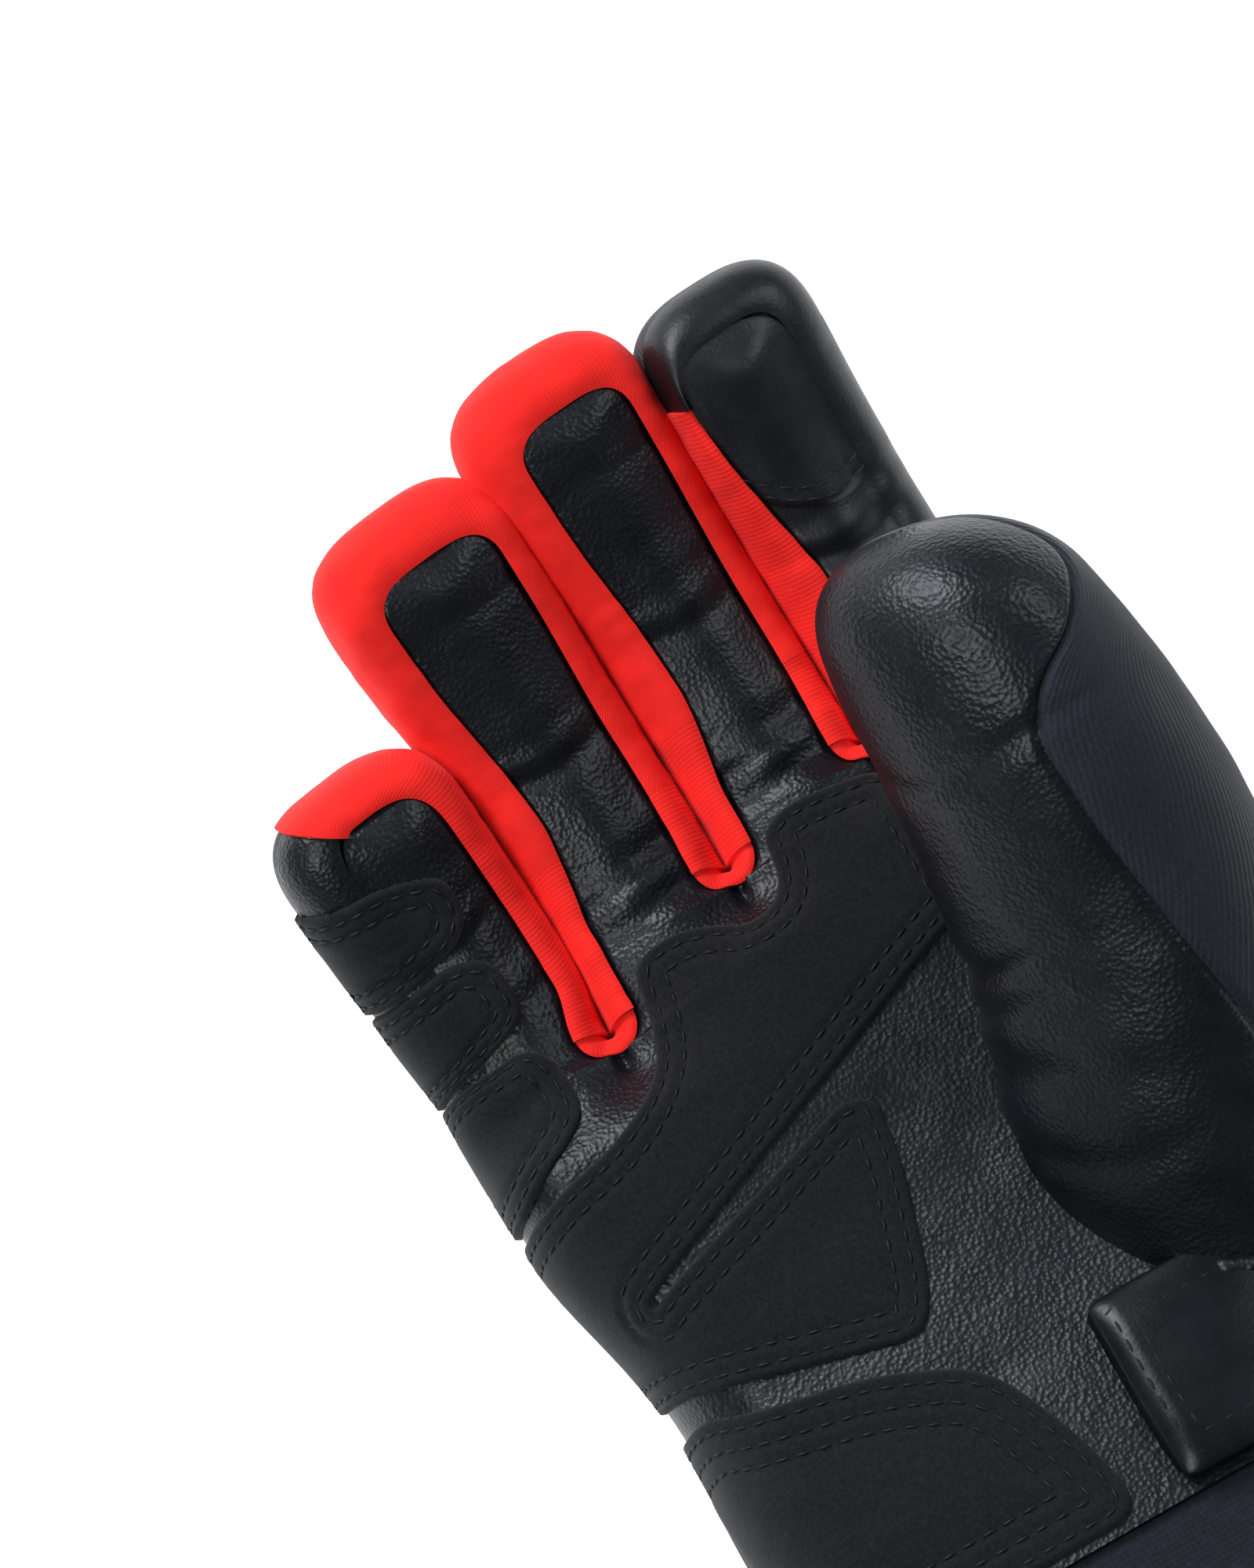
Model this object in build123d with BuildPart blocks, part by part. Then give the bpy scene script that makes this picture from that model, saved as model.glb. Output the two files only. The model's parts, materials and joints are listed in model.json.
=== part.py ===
from build123d import *
from dataclasses import dataclass
from math import cos, radians, sin
import os

# Insulated ski glove for the right hand, lying on its back with the palm up.
# +X points to the thumb side, +Y to the fingertips and +Z out of the palm.
# The origin is the middle of the knuckle pad's flat face, which the glove rests on.

os.makedirs("parts", exist_ok=True)

# ---- driving dimensions, mm ----
skin = 1.5              # leather, softshell and stretch fabric
ply_gap = 0.2           # between two plies of one shell
insulation = 4.0        # fill in the hand
lining = 1.2            # fleece next to the hand and in the cuff
stall_lining = 2.2      # fleece in the fingers and the thumb
patch = 1.1             # suede reinforcement
pad = 5.0               # knuckle pad, down to the floor
joint_gap = 6.0         # open strip at each bending line
slit = 0.8              # between neighbouring fingers
slit_middle = -0.9      # x of the slit between ring and middle finger

cuff_join = -90.0       # y where the cuff meets the hand
cuff_length = 68.0      # from there to the hem's mouth
cuff_waist = 30.0       # from the mouth to the section that starts to narrow
cuff_width, cuff_height = 122.0, 70.0
hem_width, hem_skin = 9.0, 2.0
wrist_y, wrist_width, wrist_height = -78.0, 92.0, 46.0
heel_y, heel_width, heel_height = -48.0, 106.0, 41.0
palm_y, palm_width, palm_height = -8.0, 116.0, 38.0
front_y, front_width, front_height = 37.0, 118.0, 34.0
hand_corner = 15.0      # rounding of the hand's section
seam_z = 25.0           # side seam between the palm and the back
cuff_seam_z = 34.0      # side seam of the gauntlet

finger_height, finger_tip_height = 28.0, 24.0
finger_mid_share = 1.06         # width at the middle joint over the width at the knuckle
finger_tip_share = 1.07         # width before the rounded tip over the width at the knuckle
finger_axis_z = 23.5            # centre line's height at the knuckle line
finger_curl_base, finger_curl_tip = 12.0, 35.0      # degrees above the palm's plane
finger_pivot_depth = 6.4        # pivot below the palmar face
side_band = 6.0                 # half width of a side wall

thumb_width, thumb_mid_width, thumb_tip_width = 54.0, 45.0, 39.0
thumb_height, thumb_mid_height, thumb_tip_height = 42.0, 38.0, 34.0
thumb_root_share = 0.6  # size of the root's start, inside the hand, over the root's size
thumb_root_at = (38.0, -56.0, 30.0)
thumb_knuckle_at = (48.0, -6.0, 66.0)
thumb_middle_at = (46.5, 20.0, 79.0)
thumb_end_at = (44.0, 49.0, 88.0)
thumb_across = (0.707, 0.0, 0.707)  # the thumb's bending axis
thumb_pivot_depth = 7.5

strap_start, strap_width, strap_skin = -88.0, 30.0, 3.0
tape = 0.8              # a hook or a loop tape
tape_clearance = 0.4    # between the two tapes
strap_sewn_x = 13.0     # sewn end on the palm side
strap_hinge_x = 30.0    # where the free tab starts, on the back
strap_tab_end_x = -34.0
tape_margin = 3.0       # tape inside the tab's edges


@dataclass
class Finger:
    name: str
    width: float
    knuckle_y: float
    splay: float        # degrees towards the thumb side
    base: float         # knuckle to middle joint
    tip: float          # middle joint to fingertip
    walls: tuple        # sides that have a fourchette, -1 little finger side, 1 thumb side


fingers = [
    Finger("pinky", 26.5, 14.0, -4.2, 31.0, 34.0, (1,)),
    Finger("ring", 27.0, 22.0, -1.5, 45.0, 48.0, (-1, 1)),
    Finger("middle", 28.0, 30.0, 1.2, 47.0, 50.0, (-1, 1)),
    Finger("index", 30.0, 34.0, 3.7, 43.0, 46.0, (-1,)),
]

# ---- places that follow from them ----
cuff_start = cuff_join - cuff_length
finger_left = slit_middle - slit / 2 - fingers[1].width - slit - fingers[0].width
girths = [              # y, width, height, lowest z of the hand's and the cuff's section
    (cuff_start, cuff_width - 2 * hem_skin, cuff_height - 2 * hem_skin, hem_skin),
    (cuff_start + cuff_waist, cuff_width - 6, cuff_height - 4, hem_skin),
    (cuff_join, wrist_width + 6, wrist_height + 8, 4.0),
    (wrist_y, wrist_width, wrist_height, 8.0),
    (heel_y, heel_width, heel_height, pad + 0.5),
    (heel_y + 12, heel_width + 4, palm_height + 2, pad),
    (palm_y, palm_width, palm_height, pad),
    (front_y, front_width, front_height, pad),
]
hand_start = cuff_join + ply_gap
lining_end = fingers[0].knuckle_y - joint_gap / 2 - 12


def save(piece, name):
    piece.part.label = name
    export_step(piece.part, f"parts/{name}.step")


def girth(y):
    """Width, height and lowest z of the section at y, straight between two stations."""
    for (y0, *low), (y1, *high) in zip(girths, girths[1:]):
        if y <= y1:
            share = (y - y0) / (y1 - y0)
            return [a + (b - a) * share for a, b in zip(low, high)]
    return list(girths[-1][1:])


def hand_block(grow, start, stop):
    """Closed block of the hand and the cuff from y = start to stop, grown outwards by grow."""
    stations = [start] + [g[0] for g in girths if start < g[0] < stop] + [stop]
    with BuildPart() as block:
        for y in stations:
            width, height, low = girth(y)
            with BuildSketch(Plane.XZ.offset(-y)):
                with Locations((0, low + height / 2)):
                    RectangleRounded(width + 2 * grow, height + 2 * grow, hand_corner + grow)
        loft(ruled=True)
    return block.part


def slab(x0, x1, y0, y1, z0, z1):
    """Box between two corners."""
    with BuildPart() as block:
        with Locations(((x0 + x1) / 2, (y0 + y1) / 2, (z0 + z1) / 2)):
            Box(x1 - x0, y1 - y0, z1 - z0)
    return block.part


def outline(points, corner, low, high):
    """Prism over a rounded outline in the palm's plane, between two heights."""
    with BuildPart() as prism:
        with BuildSketch(Plane.XY.offset(low)):
            with BuildLine():
                Polyline(*points, close=True)
            make_face()
            fillet(vertices(), corner)
        extrude(amount=high - low)
    return prism.part


def shell(outer, inner, *cuts):
    """Outer block less the inner block and the cuts."""
    with BuildPart() as piece:
        add(outer)
        add(inner, mode=Mode.SUBTRACT)
        for cut in cuts:
            add(cut, mode=Mode.SUBTRACT)
    return piece.part


def common(block, *regions):
    """What the block shares with every region."""
    with BuildPart() as piece:
        add(block)
        for region in regions:
            add(region, mode=Mode.INTERSECT)
    return piece


def stall_run(start, across, direction, sections, grow):
    """Tube-like block along a straight run; sections are (distance, width, height)."""
    across = (across - direction * across.dot(direction)).normalized()
    base = Plane(origin=start, x_dir=-across, z_dir=direction)
    with BuildPart() as block:
        for distance, width, height in sections:
            corner = 0.42 * min(width, height)
            with BuildSketch(base.offset(distance)):
                RectangleRounded(width + 2 * grow, height + 2 * grow, corner + grow)
        loft(ruled=True)
    return block.part, base


def between(block, low_plane, high_plane):
    """The part of a run between the open strips at its two bending lines."""
    with BuildPart() as piece:
        add(block)
        if low_plane is not None:
            split(bisect_by=low_plane.offset(joint_gap / 2), keep=Keep.TOP)
        if high_plane is not None:
            split(bisect_by=high_plane.offset(-joint_gap / 2), keep=Keep.BOTTOM)
    return piece.part


def local_slab(base, x0, x1, y0, y1, z0, z1):
    """Box in a run's own frame: x to the little finger side, y palmar, z along the run."""
    with BuildPart(base) as block:
        with Locations(((x0 + x1) / 2, (y0 + y1) / 2, (z0 + z1) / 2)):
            Box(x1 - x0, y1 - y0, z1 - z0)
    return block.part


def dome(length, width, height, grow):
    """Last sections of a tip, narrowing to its blunt end, for a block grown by grow."""
    end = length + grow
    steps = ((12.0, 1.0), (6.0, 0.93), (2.0, 0.8), (0.0, 0.62))
    return [(end - back, width * share, height * share) for back, share in steps]


# ---- stalls: each is two straight runs with an open strip at both bending lines ----
reach = 14.0            # how far a run is carried past its bending line before it is trimmed


def stall_pieces(name, across, knuckle, middle, end, knuckle_normal, sizes, walls, far):
    """Base and tip segments of one finger or thumb, each in panels and a lining."""
    (base_width, base_height), (mid_width, mid_height), (tip_width, tip_height) = sizes
    base_direction = (middle - knuckle).normalized()
    tip_direction = (end - middle).normalized()
    base_length = (middle - knuckle).length
    tip_length = (end - middle).length
    knuckle_plane = Plane(origin=knuckle, z_dir=knuckle_normal)
    middle_plane = Plane(origin=middle, z_dir=(base_direction + tip_direction).normalized())
    inner = -skin
    inner_lining = inner - ply_gap
    cavity = inner_lining - stall_lining

    def base_run(grow):
        sections = [
            (-reach, base_width, base_height),
            (0, base_width, base_height),
            (base_length, mid_width, mid_height),
            (base_length + reach, mid_width, mid_height),
        ]
        return stall_run(knuckle, across, base_direction, sections, grow)

    def tip_run(grow):
        sections = [(-reach, mid_width, mid_height), (0, mid_width, mid_height)]
        sections += dome(tip_length, tip_width, tip_height, grow)
        return stall_run(middle, across, tip_direction, sections, grow)

    runs = (("base", base_run, knuckle_plane, middle_plane), ("tip", tip_run, middle_plane, None))
    for part_name, run, low, high in runs:
        outer, base = run(0)
        skin_shell = between(shell(outer, run(inner)[0]), low, high)
        lining_shell = between(shell(run(inner_lining)[0], run(cavity)[0]), low, high)
        front_region = local_slab(base, -far, far, side_band, far, -far, 2 * far)
        gap = ply_gap / 2
        wall_regions = []
        for side in walls:
            x0, x1 = (-far, -gap) if side > 0 else (gap, far)
            wall_regions.append(
                local_slab(base, x0, x1, -side_band + gap, side_band - gap, -far, 2 * far)
            )
        save(common(skin_shell, front_region), f"{name}_front_{part_name}")
        if walls:
            with BuildPart() as fourchette:
                for region in wall_regions:
                    add(common(skin_shell, region).part)
            save(fourchette, f"{name}_fourchette_{part_name}")
        with BuildPart() as back:
            add(skin_shell)
            add(local_slab(base, -far, far, side_band - ply_gap, far, -far, 2 * far), mode=Mode.SUBTRACT)
            for side in walls:
                x0, x1 = (-far, gap) if side > 0 else (-gap, far)
                add(
                    local_slab(base, x0, x1, -side_band, side_band, -far, 2 * far),
                    mode=Mode.SUBTRACT,
                )
        save(back, f"{name}_back_{part_name}")
        with BuildPart() as inside:
            add(lining_shell)
        save(inside, f"{name}_lining_{part_name}")
    return base_run, tip_run, knuckle_plane, middle_plane


hinges = {}
palm_cuts = []
left = finger_left
finger_frames = {}
for finger in fingers:
    centre = left + finger.width / 2
    turn = radians(finger.splay)
    heading = Vector(sin(turn), cos(turn), 0)
    across = Vector(cos(turn), -sin(turn), 0)
    knuckle = Vector(centre, finger.knuckle_y, finger_axis_z)
    base_tilt, tip_tilt = radians(finger_curl_base), radians(finger_curl_tip)
    middle = knuckle + (heading * cos(base_tilt) + Vector(0, 0, sin(base_tilt))) * finger.base
    end = middle + (heading * cos(tip_tilt) + Vector(0, 0, sin(tip_tilt))) * finger.tip
    mid_width = finger.width * finger_mid_share
    mid_height = (finger_height + finger_tip_height) / 2
    sizes = (
        (finger.width, finger_height),
        (mid_width, mid_height),
        (finger.width * finger_tip_share, finger_tip_height),
    )
    finger_frames[finger.name] = stall_pieces(
        finger.name, across, knuckle, middle, end, Vector(0, 1, 0), sizes, finger.walls, 60
    )
    mean_tilt = (base_tilt + tip_tilt) / 2
    palmar = heading * -sin(mean_tilt) + Vector(0, 0, cos(mean_tilt))
    knuckle_pivot = knuckle + Vector(0, 0, finger_height / 2 - finger_pivot_depth)
    middle_pivot = middle + palmar * (mid_height / 2 - finger_pivot_depth)
    hinges[f"{finger.name}_knuckle"] = (knuckle_pivot, across)
    hinges[f"{finger.name}_middle"] = (middle_pivot, across)
    first, last = finger is fingers[0], finger is fingers[-1]
    palm_cuts.append(
        slab(
            left - (20 if first else slit / 2),
            left + finger.width + (20 if last else slit / 2),
            finger.knuckle_y - joint_gap / 2,
            front_y + 10,
            -10,
            80,
        )
    )
    left += finger.width + slit

# ---- thumb ----
thumb_axis = Vector(*thumb_across).normalized()
root, knuckle = Vector(*thumb_root_at), Vector(*thumb_knuckle_at)
middle, end = Vector(*thumb_middle_at), Vector(*thumb_end_at)
root_direction = (knuckle - root).normalized()
base_direction = (middle - knuckle).normalized()
thumb_normal = (root_direction + base_direction).normalized()
thumb_sizes = (
    (thumb_mid_width + 2, thumb_mid_height + 1),
    (thumb_mid_width - 2, thumb_mid_height - 1),
    (thumb_tip_width, thumb_tip_height),
)
stall_pieces("thumb", thumb_axis, knuckle, middle, end, thumb_normal, thumb_sizes, (), 70)
thumb_palmar = thumb_axis.cross(thumb_normal).normalized()
knuckle_pivot = knuckle + thumb_palmar * (thumb_mid_height / 2 - thumb_pivot_depth)
middle_pivot = middle + thumb_palmar * (thumb_mid_height / 2 - thumb_pivot_depth)
hinges["thumb_knuckle"] = (knuckle_pivot, thumb_axis)
hinges["thumb_middle"] = (middle_pivot, thumb_axis)


def root_run(grow):
    """The thumb's root, from inside the hand to its bending line."""
    length = (knuckle - root).length
    start_width, start_height = thumb_width * thumb_root_share, thumb_height * thumb_root_share
    sections = [
        (-grow, start_width, start_height),
        (length / 2, thumb_width, thumb_height),
        (length, thumb_mid_width + 2, thumb_mid_height + 1),
        (length + reach, thumb_mid_width, thumb_mid_height),
    ]
    return stall_run(root, thumb_axis, root_direction, sections, grow)[0]


thumb_plane = Plane(origin=knuckle, z_dir=thumb_normal)
thumb_outer, thumb_inner = root_run(0), root_run(-skin)
thumb_cavity = root_run(-skin - ply_gap - stall_lining)
thumb_clear = root_run(ply_gap)
hand_outer = hand_block(ply_gap, cuff_start + 10, front_y)
root_skin = between(shell(thumb_outer, thumb_inner, hand_outer), None, thumb_plane)
save(common(root_skin, slab(-80, 90, -120, 60, 20, 120)), "thumb_root")

# ---- hand ----
hand_skin_inner = hand_block(-skin, hand_start - 5, front_y + 5)
hand_skin = shell(hand_block(0, hand_start, front_y), hand_skin_inner, *palm_cuts)
palm_region = slab(-80, 80, -200, 80, seam_z + ply_gap / 2, 120)
back_region = slab(-80, 80, -200, 80, -20, seam_z - ply_gap / 2)
with BuildPart() as palm_leather:
    add(common(hand_skin, palm_region).part)
    add(thumb_inner, mode=Mode.SUBTRACT)
save(palm_leather, "palm_leather")
save(common(hand_skin, back_region), "back_shell")

fill_out = -skin - ply_gap
fill_in = fill_out - insulation
fill = shell(hand_block(fill_out, hand_start, lining_end), hand_block(fill_in, hand_start - 5, lining_end + 5))
with BuildPart() as palm_insulation:
    add(common(fill, palm_region).part)
    add(thumb_inner, mode=Mode.SUBTRACT)
save(palm_insulation, "palm_insulation")
save(common(fill, back_region), "back_insulation")
lining_out = fill_in - ply_gap
hand_cavity = hand_block(lining_out - lining, hand_start - 5, lining_end + 5)
with BuildPart() as hand_lining:
    add(shell(hand_block(lining_out, hand_start, lining_end), hand_cavity))
    add(thumb_inner, mode=Mode.SUBTRACT)
save(hand_lining, "hand_lining")

with BuildPart() as crotch_gussets:
    edge = finger_left
    for finger, neighbour in zip(fingers, fingers[1:]):
        edge += finger.width + slit / 2
        front = min(finger.knuckle_y, neighbour.knuckle_y) - joint_gap / 2
        width, height, low = girth(front - 9)
        with Locations((edge, front - 4.5, low + height / 2)):
            Box(2 * skin, 9, height - 2 * skin - 3)
        edge += slit / 2
save(crotch_gussets, "crotch_gussets")

# ---- reinforcements on the palm and the pad on the back ----
patch_layer = shell(
    hand_block(ply_gap + patch, hand_start + 2, front_y),
    hand_block(ply_gap, hand_start - 5, front_y + 5),
    thumb_clear,
    *palm_cuts,
)
palm_patch_points = [
    (-54, -38), (-54, -9), (-24, 4), (-12, 16), (3, 20), (18, 26), (20, 4), (-3, -10), (-6, -42), (-12, -46),
]
heel_patch_points = [(-50, -46), (-20, -50), (-5, -57), (3, -72), (5, -85), (-48, -85)]
top_side = slab(-80, 80, -200, 80, seam_z + 3, 80)
save(common(patch_layer, outline(palm_patch_points, 1.5, seam_z, 80), top_side), "palm_patch")
save(common(patch_layer, outline(heel_patch_points, 2, seam_z, 80), top_side), "heel_patch")
lobe_points = [(-62, -6), (-62, 10), (-42, 10), (-40, 4), (-56, -6)]
save(common(patch_layer, outline(lobe_points, 1, seam_z, 80), top_side), "pinky_patch_palm")

pad_points = [(-44, -26), (-40, 8), (0, 17), (44, 20), (46, -16), (0, -27)]
with BuildPart() as knuckle_pad:
    add(outline(pad_points, 5, 0, pad - ply_gap))
    for cut in palm_cuts:
        add(cut, mode=Mode.SUBTRACT)
save(knuckle_pad, "knuckle_pad")

# ---- suede on the little finger and on the index fingertip ----
base_run, tip_run, low, mid = finger_frames["pinky"]
outer, base = base_run(ply_gap + patch)
layer = between(shell(outer, base_run(ply_gap)[0]), low, mid)
save(common(layer, local_slab(base, 1, 30, 3, 30, 7, 28)), "pinky_patch_base")
outer, base = tip_run(ply_gap + patch)
layer = between(shell(outer, tip_run(ply_gap)[0]), mid, None)
save(common(layer, local_slab(base, 1, 30, 3, 30, 6, 20)), "pinky_patch_tip")
base_run, tip_run, low, mid = finger_frames["index"]
outer, base = tip_run(ply_gap + patch)
layer = between(shell(outer, tip_run(ply_gap)[0]), mid, None)
save(common(layer, local_slab(base, -12, 12, side_band + 1, 30, 8, 60)), "index_patch")

# ---- gauntlet ----
cuff_end = hand_start - ply_gap
cuff_skin = shell(hand_block(0, cuff_start, cuff_end), hand_block(-skin, cuff_start - 5, cuff_end + 5))
save(common(cuff_skin, slab(-80, 80, -200, 80, cuff_seam_z + ply_gap / 2, 120)), "gauntlet_palm")
save(common(cuff_skin, slab(-80, 80, -200, 80, -20, cuff_seam_z - ply_gap / 2)), "gauntlet_back")
hem_end = cuff_start + hem_width
with BuildPart() as cuff_hem:
    add(shell(hand_block(hem_skin, cuff_start, hem_end), hand_block(ply_gap, cuff_start - 5, hem_end + 5)))
save(cuff_hem, "cuff_hem")
with BuildPart() as cuff_lining:
    add(
        shell(
            hand_block(-skin - ply_gap, cuff_start + 1, cuff_end),
            hand_block(-skin - ply_gap - lining, cuff_start - 5, cuff_end + 5),
        )
    )
save(cuff_lining, "cuff_lining")

# ---- wrist strap: sewn to the palm's leather, round the thumb side, hooked down on the back ----
strap_end = strap_start + strap_width
hook_in = 2 * ply_gap + tape + tape_clearance
strap_in = hook_in + tape + ply_gap


def wrist_band(inside, outside, margin):
    """Ring round the wrist between two distances from the hand's skin."""
    return shell(
        hand_block(outside, strap_start + margin, strap_end - margin),
        hand_block(inside, strap_start - 5, strap_end + 5),
    )


band = shell(wrist_band(strap_in, strap_in + strap_skin, 0), thumb_clear)
tab_start_x = strap_hinge_x - joint_gap / 2
with BuildPart() as wrist_strap:
    add(common(band, slab(strap_sewn_x, 90, -200, 80, seam_z, 90)).part)
    add(common(band, slab(strap_hinge_x + joint_gap / 2, 90, -200, 80, -30, seam_z)).part)
save(wrist_strap, "wrist_strap")
save(common(band, slab(strap_tab_end_x, tab_start_x, -200, 80, -30, seam_z)), "strap_tab")
tape_region = slab(
    strap_tab_end_x + tape_margin, tab_start_x - tape_margin, -200, 80, -30, seam_z
)
save(common(wrist_band(hook_in, hook_in + tape, tape_margin), tape_region), "hook_tape")
save(common(wrist_band(ply_gap, ply_gap + tape, tape_margin), tape_region), "loop_tape")
strap_pivot = Vector(strap_hinge_x, strap_start + strap_width / 2, girths[3][3] - strap_in - strap_skin)

# ---- bending axes: where they are and which way they turn ----
hinges["strap"] = (strap_pivot, Vector(0, -1, 0))
for hinge_name, (pivot, axis) in hinges.items():
    print(hinge_name, [round(v, 3) for v in pivot], [round(v, 4) for v in axis])
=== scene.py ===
import itertools
import json
from dataclasses import dataclass
from math import cos, pi, radians, sin

import bmesh
import bpy
import numpy as np
from mathutils import Matrix, Vector


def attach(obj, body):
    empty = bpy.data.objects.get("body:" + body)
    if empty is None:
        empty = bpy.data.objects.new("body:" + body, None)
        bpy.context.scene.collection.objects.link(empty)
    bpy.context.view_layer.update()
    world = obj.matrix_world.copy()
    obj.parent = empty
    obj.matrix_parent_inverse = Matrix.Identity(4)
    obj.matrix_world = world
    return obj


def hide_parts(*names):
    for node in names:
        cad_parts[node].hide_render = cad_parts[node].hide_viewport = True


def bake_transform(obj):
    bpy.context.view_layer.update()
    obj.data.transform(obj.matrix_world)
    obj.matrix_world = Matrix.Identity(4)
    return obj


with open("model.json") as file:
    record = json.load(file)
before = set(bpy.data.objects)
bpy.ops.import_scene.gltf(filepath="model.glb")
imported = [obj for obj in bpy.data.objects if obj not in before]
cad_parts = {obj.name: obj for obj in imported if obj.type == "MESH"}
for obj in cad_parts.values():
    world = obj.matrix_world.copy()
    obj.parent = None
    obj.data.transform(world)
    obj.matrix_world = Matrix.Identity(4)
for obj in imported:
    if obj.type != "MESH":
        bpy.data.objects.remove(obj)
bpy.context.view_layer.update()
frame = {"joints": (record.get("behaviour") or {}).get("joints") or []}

bl_info = {
    "name": "Insulated ski glove",
    "version": (1, 0, 0),
    "blender": (4, 5, 0),
    "location": "View3D > Sidebar > Ski glove",
    "description": "Builds the leather, stretch fabric, suede and padding of a ski glove around its frame",
    "category": "Add Mesh",
}

MM = 0.001              # shapes are worked out in millimetres and written in metres
joints = {joint["name"]: joint for joint in frame["joints"]}


def pivot(joint):
    """Where a joint's axis is, in millimetres."""
    return np.array(joints[joint]["pos_m"]) / MM


# ---- the hand's section: y, palm height, back height, little finger side x, thumb side x ----
girths = np.array([
    (-92.0, 57.0, 4.5, -52.0, 51.0),
    (-78.0, 53.5, 7.0, -50.5, 48.0),
    (-62.0, 49.5, 6.5, -51.0, 50.0),
    (-46.0, 46.5, 5.6, -51.0, 53.5),
    (-34.0, 45.0, 5.2, -52.0, 56.0),
    (-8.0, 43.0, 5.0, -58.0, 58.0),
    (14.0, 41.0, 5.0, -59.5, 58.5),
    (40.0, 39.5, 5.0, -60.0, 57.5),
])
seam_z = 25.0           # side seam between the palm and the back
corner = 16.0           # how far the palm's rounded side reaches in
stall_z = 23.5          # centre line of the fingers where they leave the hand
hand_start = -89.8      # end of the hand at the cuff
slit_gap = 0.9          # between neighbouring fingers
panel_rise = 11.5       # front panel's edge above a finger's centre line
panel_drop = 12.5       # back panel's edge below it
panel_inset = 5.2       # panel's edge inside the finger's outline
crotch_inset = 4.2      # the same where the finger leaves the hand
leather_inset = 9.0     # the same where the leather turns round the side
panel_crown = 2.4       # height of a panel's middle over its edges
seam_tuck = 1.3         # how deep a panel dips at a sewn edge
tuck_width = 2.2        # over this width
tip_length = 15.0       # rounded end of a finger
crotch_reach = slit_gap / 2 + crotch_inset


@dataclass
class Finger:
    name: str
    left_crotch: float      # y where the slit on the little finger's side ends
    right_crotch: float
    length: float           # y along the centre line at the fingertip
    splay: float            # degrees towards the thumb
    swell: tuple            # extra half width near the tip on each side
    red: tuple              # stretch fabric on the little finger's side, the tip, the thumb's side
    shift: float            # towards the thumb from the knuckle joint
    tip_inset: float        # end of the panels behind the fingertip
    growth: tuple           # extra half width for each mm past the bend, on each side
    neighbours: tuple = ()
    centre: float = 0.0
    bend: float = 0.0
    middle: float = 0.0
    half: tuple = ()


fingers = [
    Finger("pinky", 20.7, 20.7, 81.0, -7.4, (0.8, 0.3), (False, True, True), -3.0, 4.5, (0.022, 0.035)),
    Finger("ring", 20.7, 35.4, 117.0, -4.7, (1.8, 0.9), (True, True, True), -0.7, 7.0, (0.022, 0.022)),
    Finger("middle", 35.4, 43.0, 128.0, -2.9, (1.4, 0.5), (True, True, True), 1.0, 7.0, (0.022, 0.012)),
    Finger("index", 43.0, 43.0, 125.0, -1.6, (0.3, 2.8), (True, False, False), 0.7, 7.0, (0.012, 0.0)),
]
knuckles = [pivot(f"{finger.name}_knuckle") for finger in fingers]
centres = [knuckle[0] + finger.shift for knuckle, finger in zip(knuckles, fingers)]
slits = [(a + b) / 2 for a, b in zip(centres, centres[1:])]
edges = [-1000.0] + slits + [1000.0]
for finger, centre, knuckle, low, high in zip(fingers, centres, knuckles, edges, edges[1:]):
    finger.centre = centre
    finger.bend = max(finger.left_crotch, finger.right_crotch)
    finger.middle = knuckle[1] + np.linalg.norm(pivot(f"{finger.name}_mid_joint") - knuckle) + 2.5
    finger.half = (min(centre - low, centre + 59.5), min(high - centre, 57.0 - centre))


# ---- small tools for arrays ----
def ease(t):
    """0 before 0, 1 after 1, and a smooth cubic step between."""
    t = np.clip(t, 0, 1)
    return t * t * (3 - 2 * t)


def through(x, stations, column):
    """Smooth curve through stations: cubic pieces whose slopes are the stations' own differences."""
    xs, values = stations[:, 0], stations[:, column]
    slopes = np.gradient(values, xs)
    k = np.clip(np.searchsorted(xs, x) - 1, 0, len(xs) - 2)
    span = xs[k + 1] - xs[k]
    t = np.clip((x - xs[k]) / span, 0, 1)
    low = (1 + 2 * t) * (1 - t) ** 2 * values[k] + t * (1 - t) ** 2 * span * slopes[k]
    return low + t * t * (3 - 2 * t) * values[k + 1] + t * t * (t - 1) * span * slopes[k + 1]


def noise(points, size, seed):
    """Smooth noise from -1 to 1: a scrambled value on each corner of a cubic lattice, eased between."""
    spot = np.asarray(points) / size + 97.0
    cell = np.floor(spot).astype(np.int64)
    part = spot - cell
    part = part * part * (3 - 2 * part)
    total = 0.0
    for step in itertools.product((0, 1), repeat=3):
        c = cell + step
        h = (c[..., 0] * 73856093) ^ (c[..., 1] * 19349663) ^ (c[..., 2] * 83492791) ^ (seed * 40503)
        h = ((h & 0x7FFFFFFF) * 1103515245 + 12345) & 0x7FFFFFFF
        h = (((h >> 13) ^ h) * 1274126177) & 0x7FFFFFFF
        weight = np.prod(np.where(np.array(step) == 1, part, 1 - part), axis=-1)
        total = total + (h / 0x3FFFFFFF - 1.0) * weight
    return total


def normals_of(grid):
    """Unit normals of a grid of points: columns' direction crossed with rows' direction."""
    across = np.gradient(grid, axis=1)
    along = np.gradient(grid, axis=0)
    normal = np.cross(across, along)
    return normal / (np.linalg.norm(normal, axis=-1, keepdims=True) + 1e-12)


def wrinkled(grid, depth, size=9.0, seed=1):
    """Grid moved along its normals by two sizes of noise, stretched so that folds run across."""
    spot = grid * np.array((0.7, 1.5, 1.0))
    amount = noise(spot, size, seed) + 0.45 * noise(spot, size * 0.42, seed + 7)
    return grid + normals_of(grid) * (depth * amount)[..., None]


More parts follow.
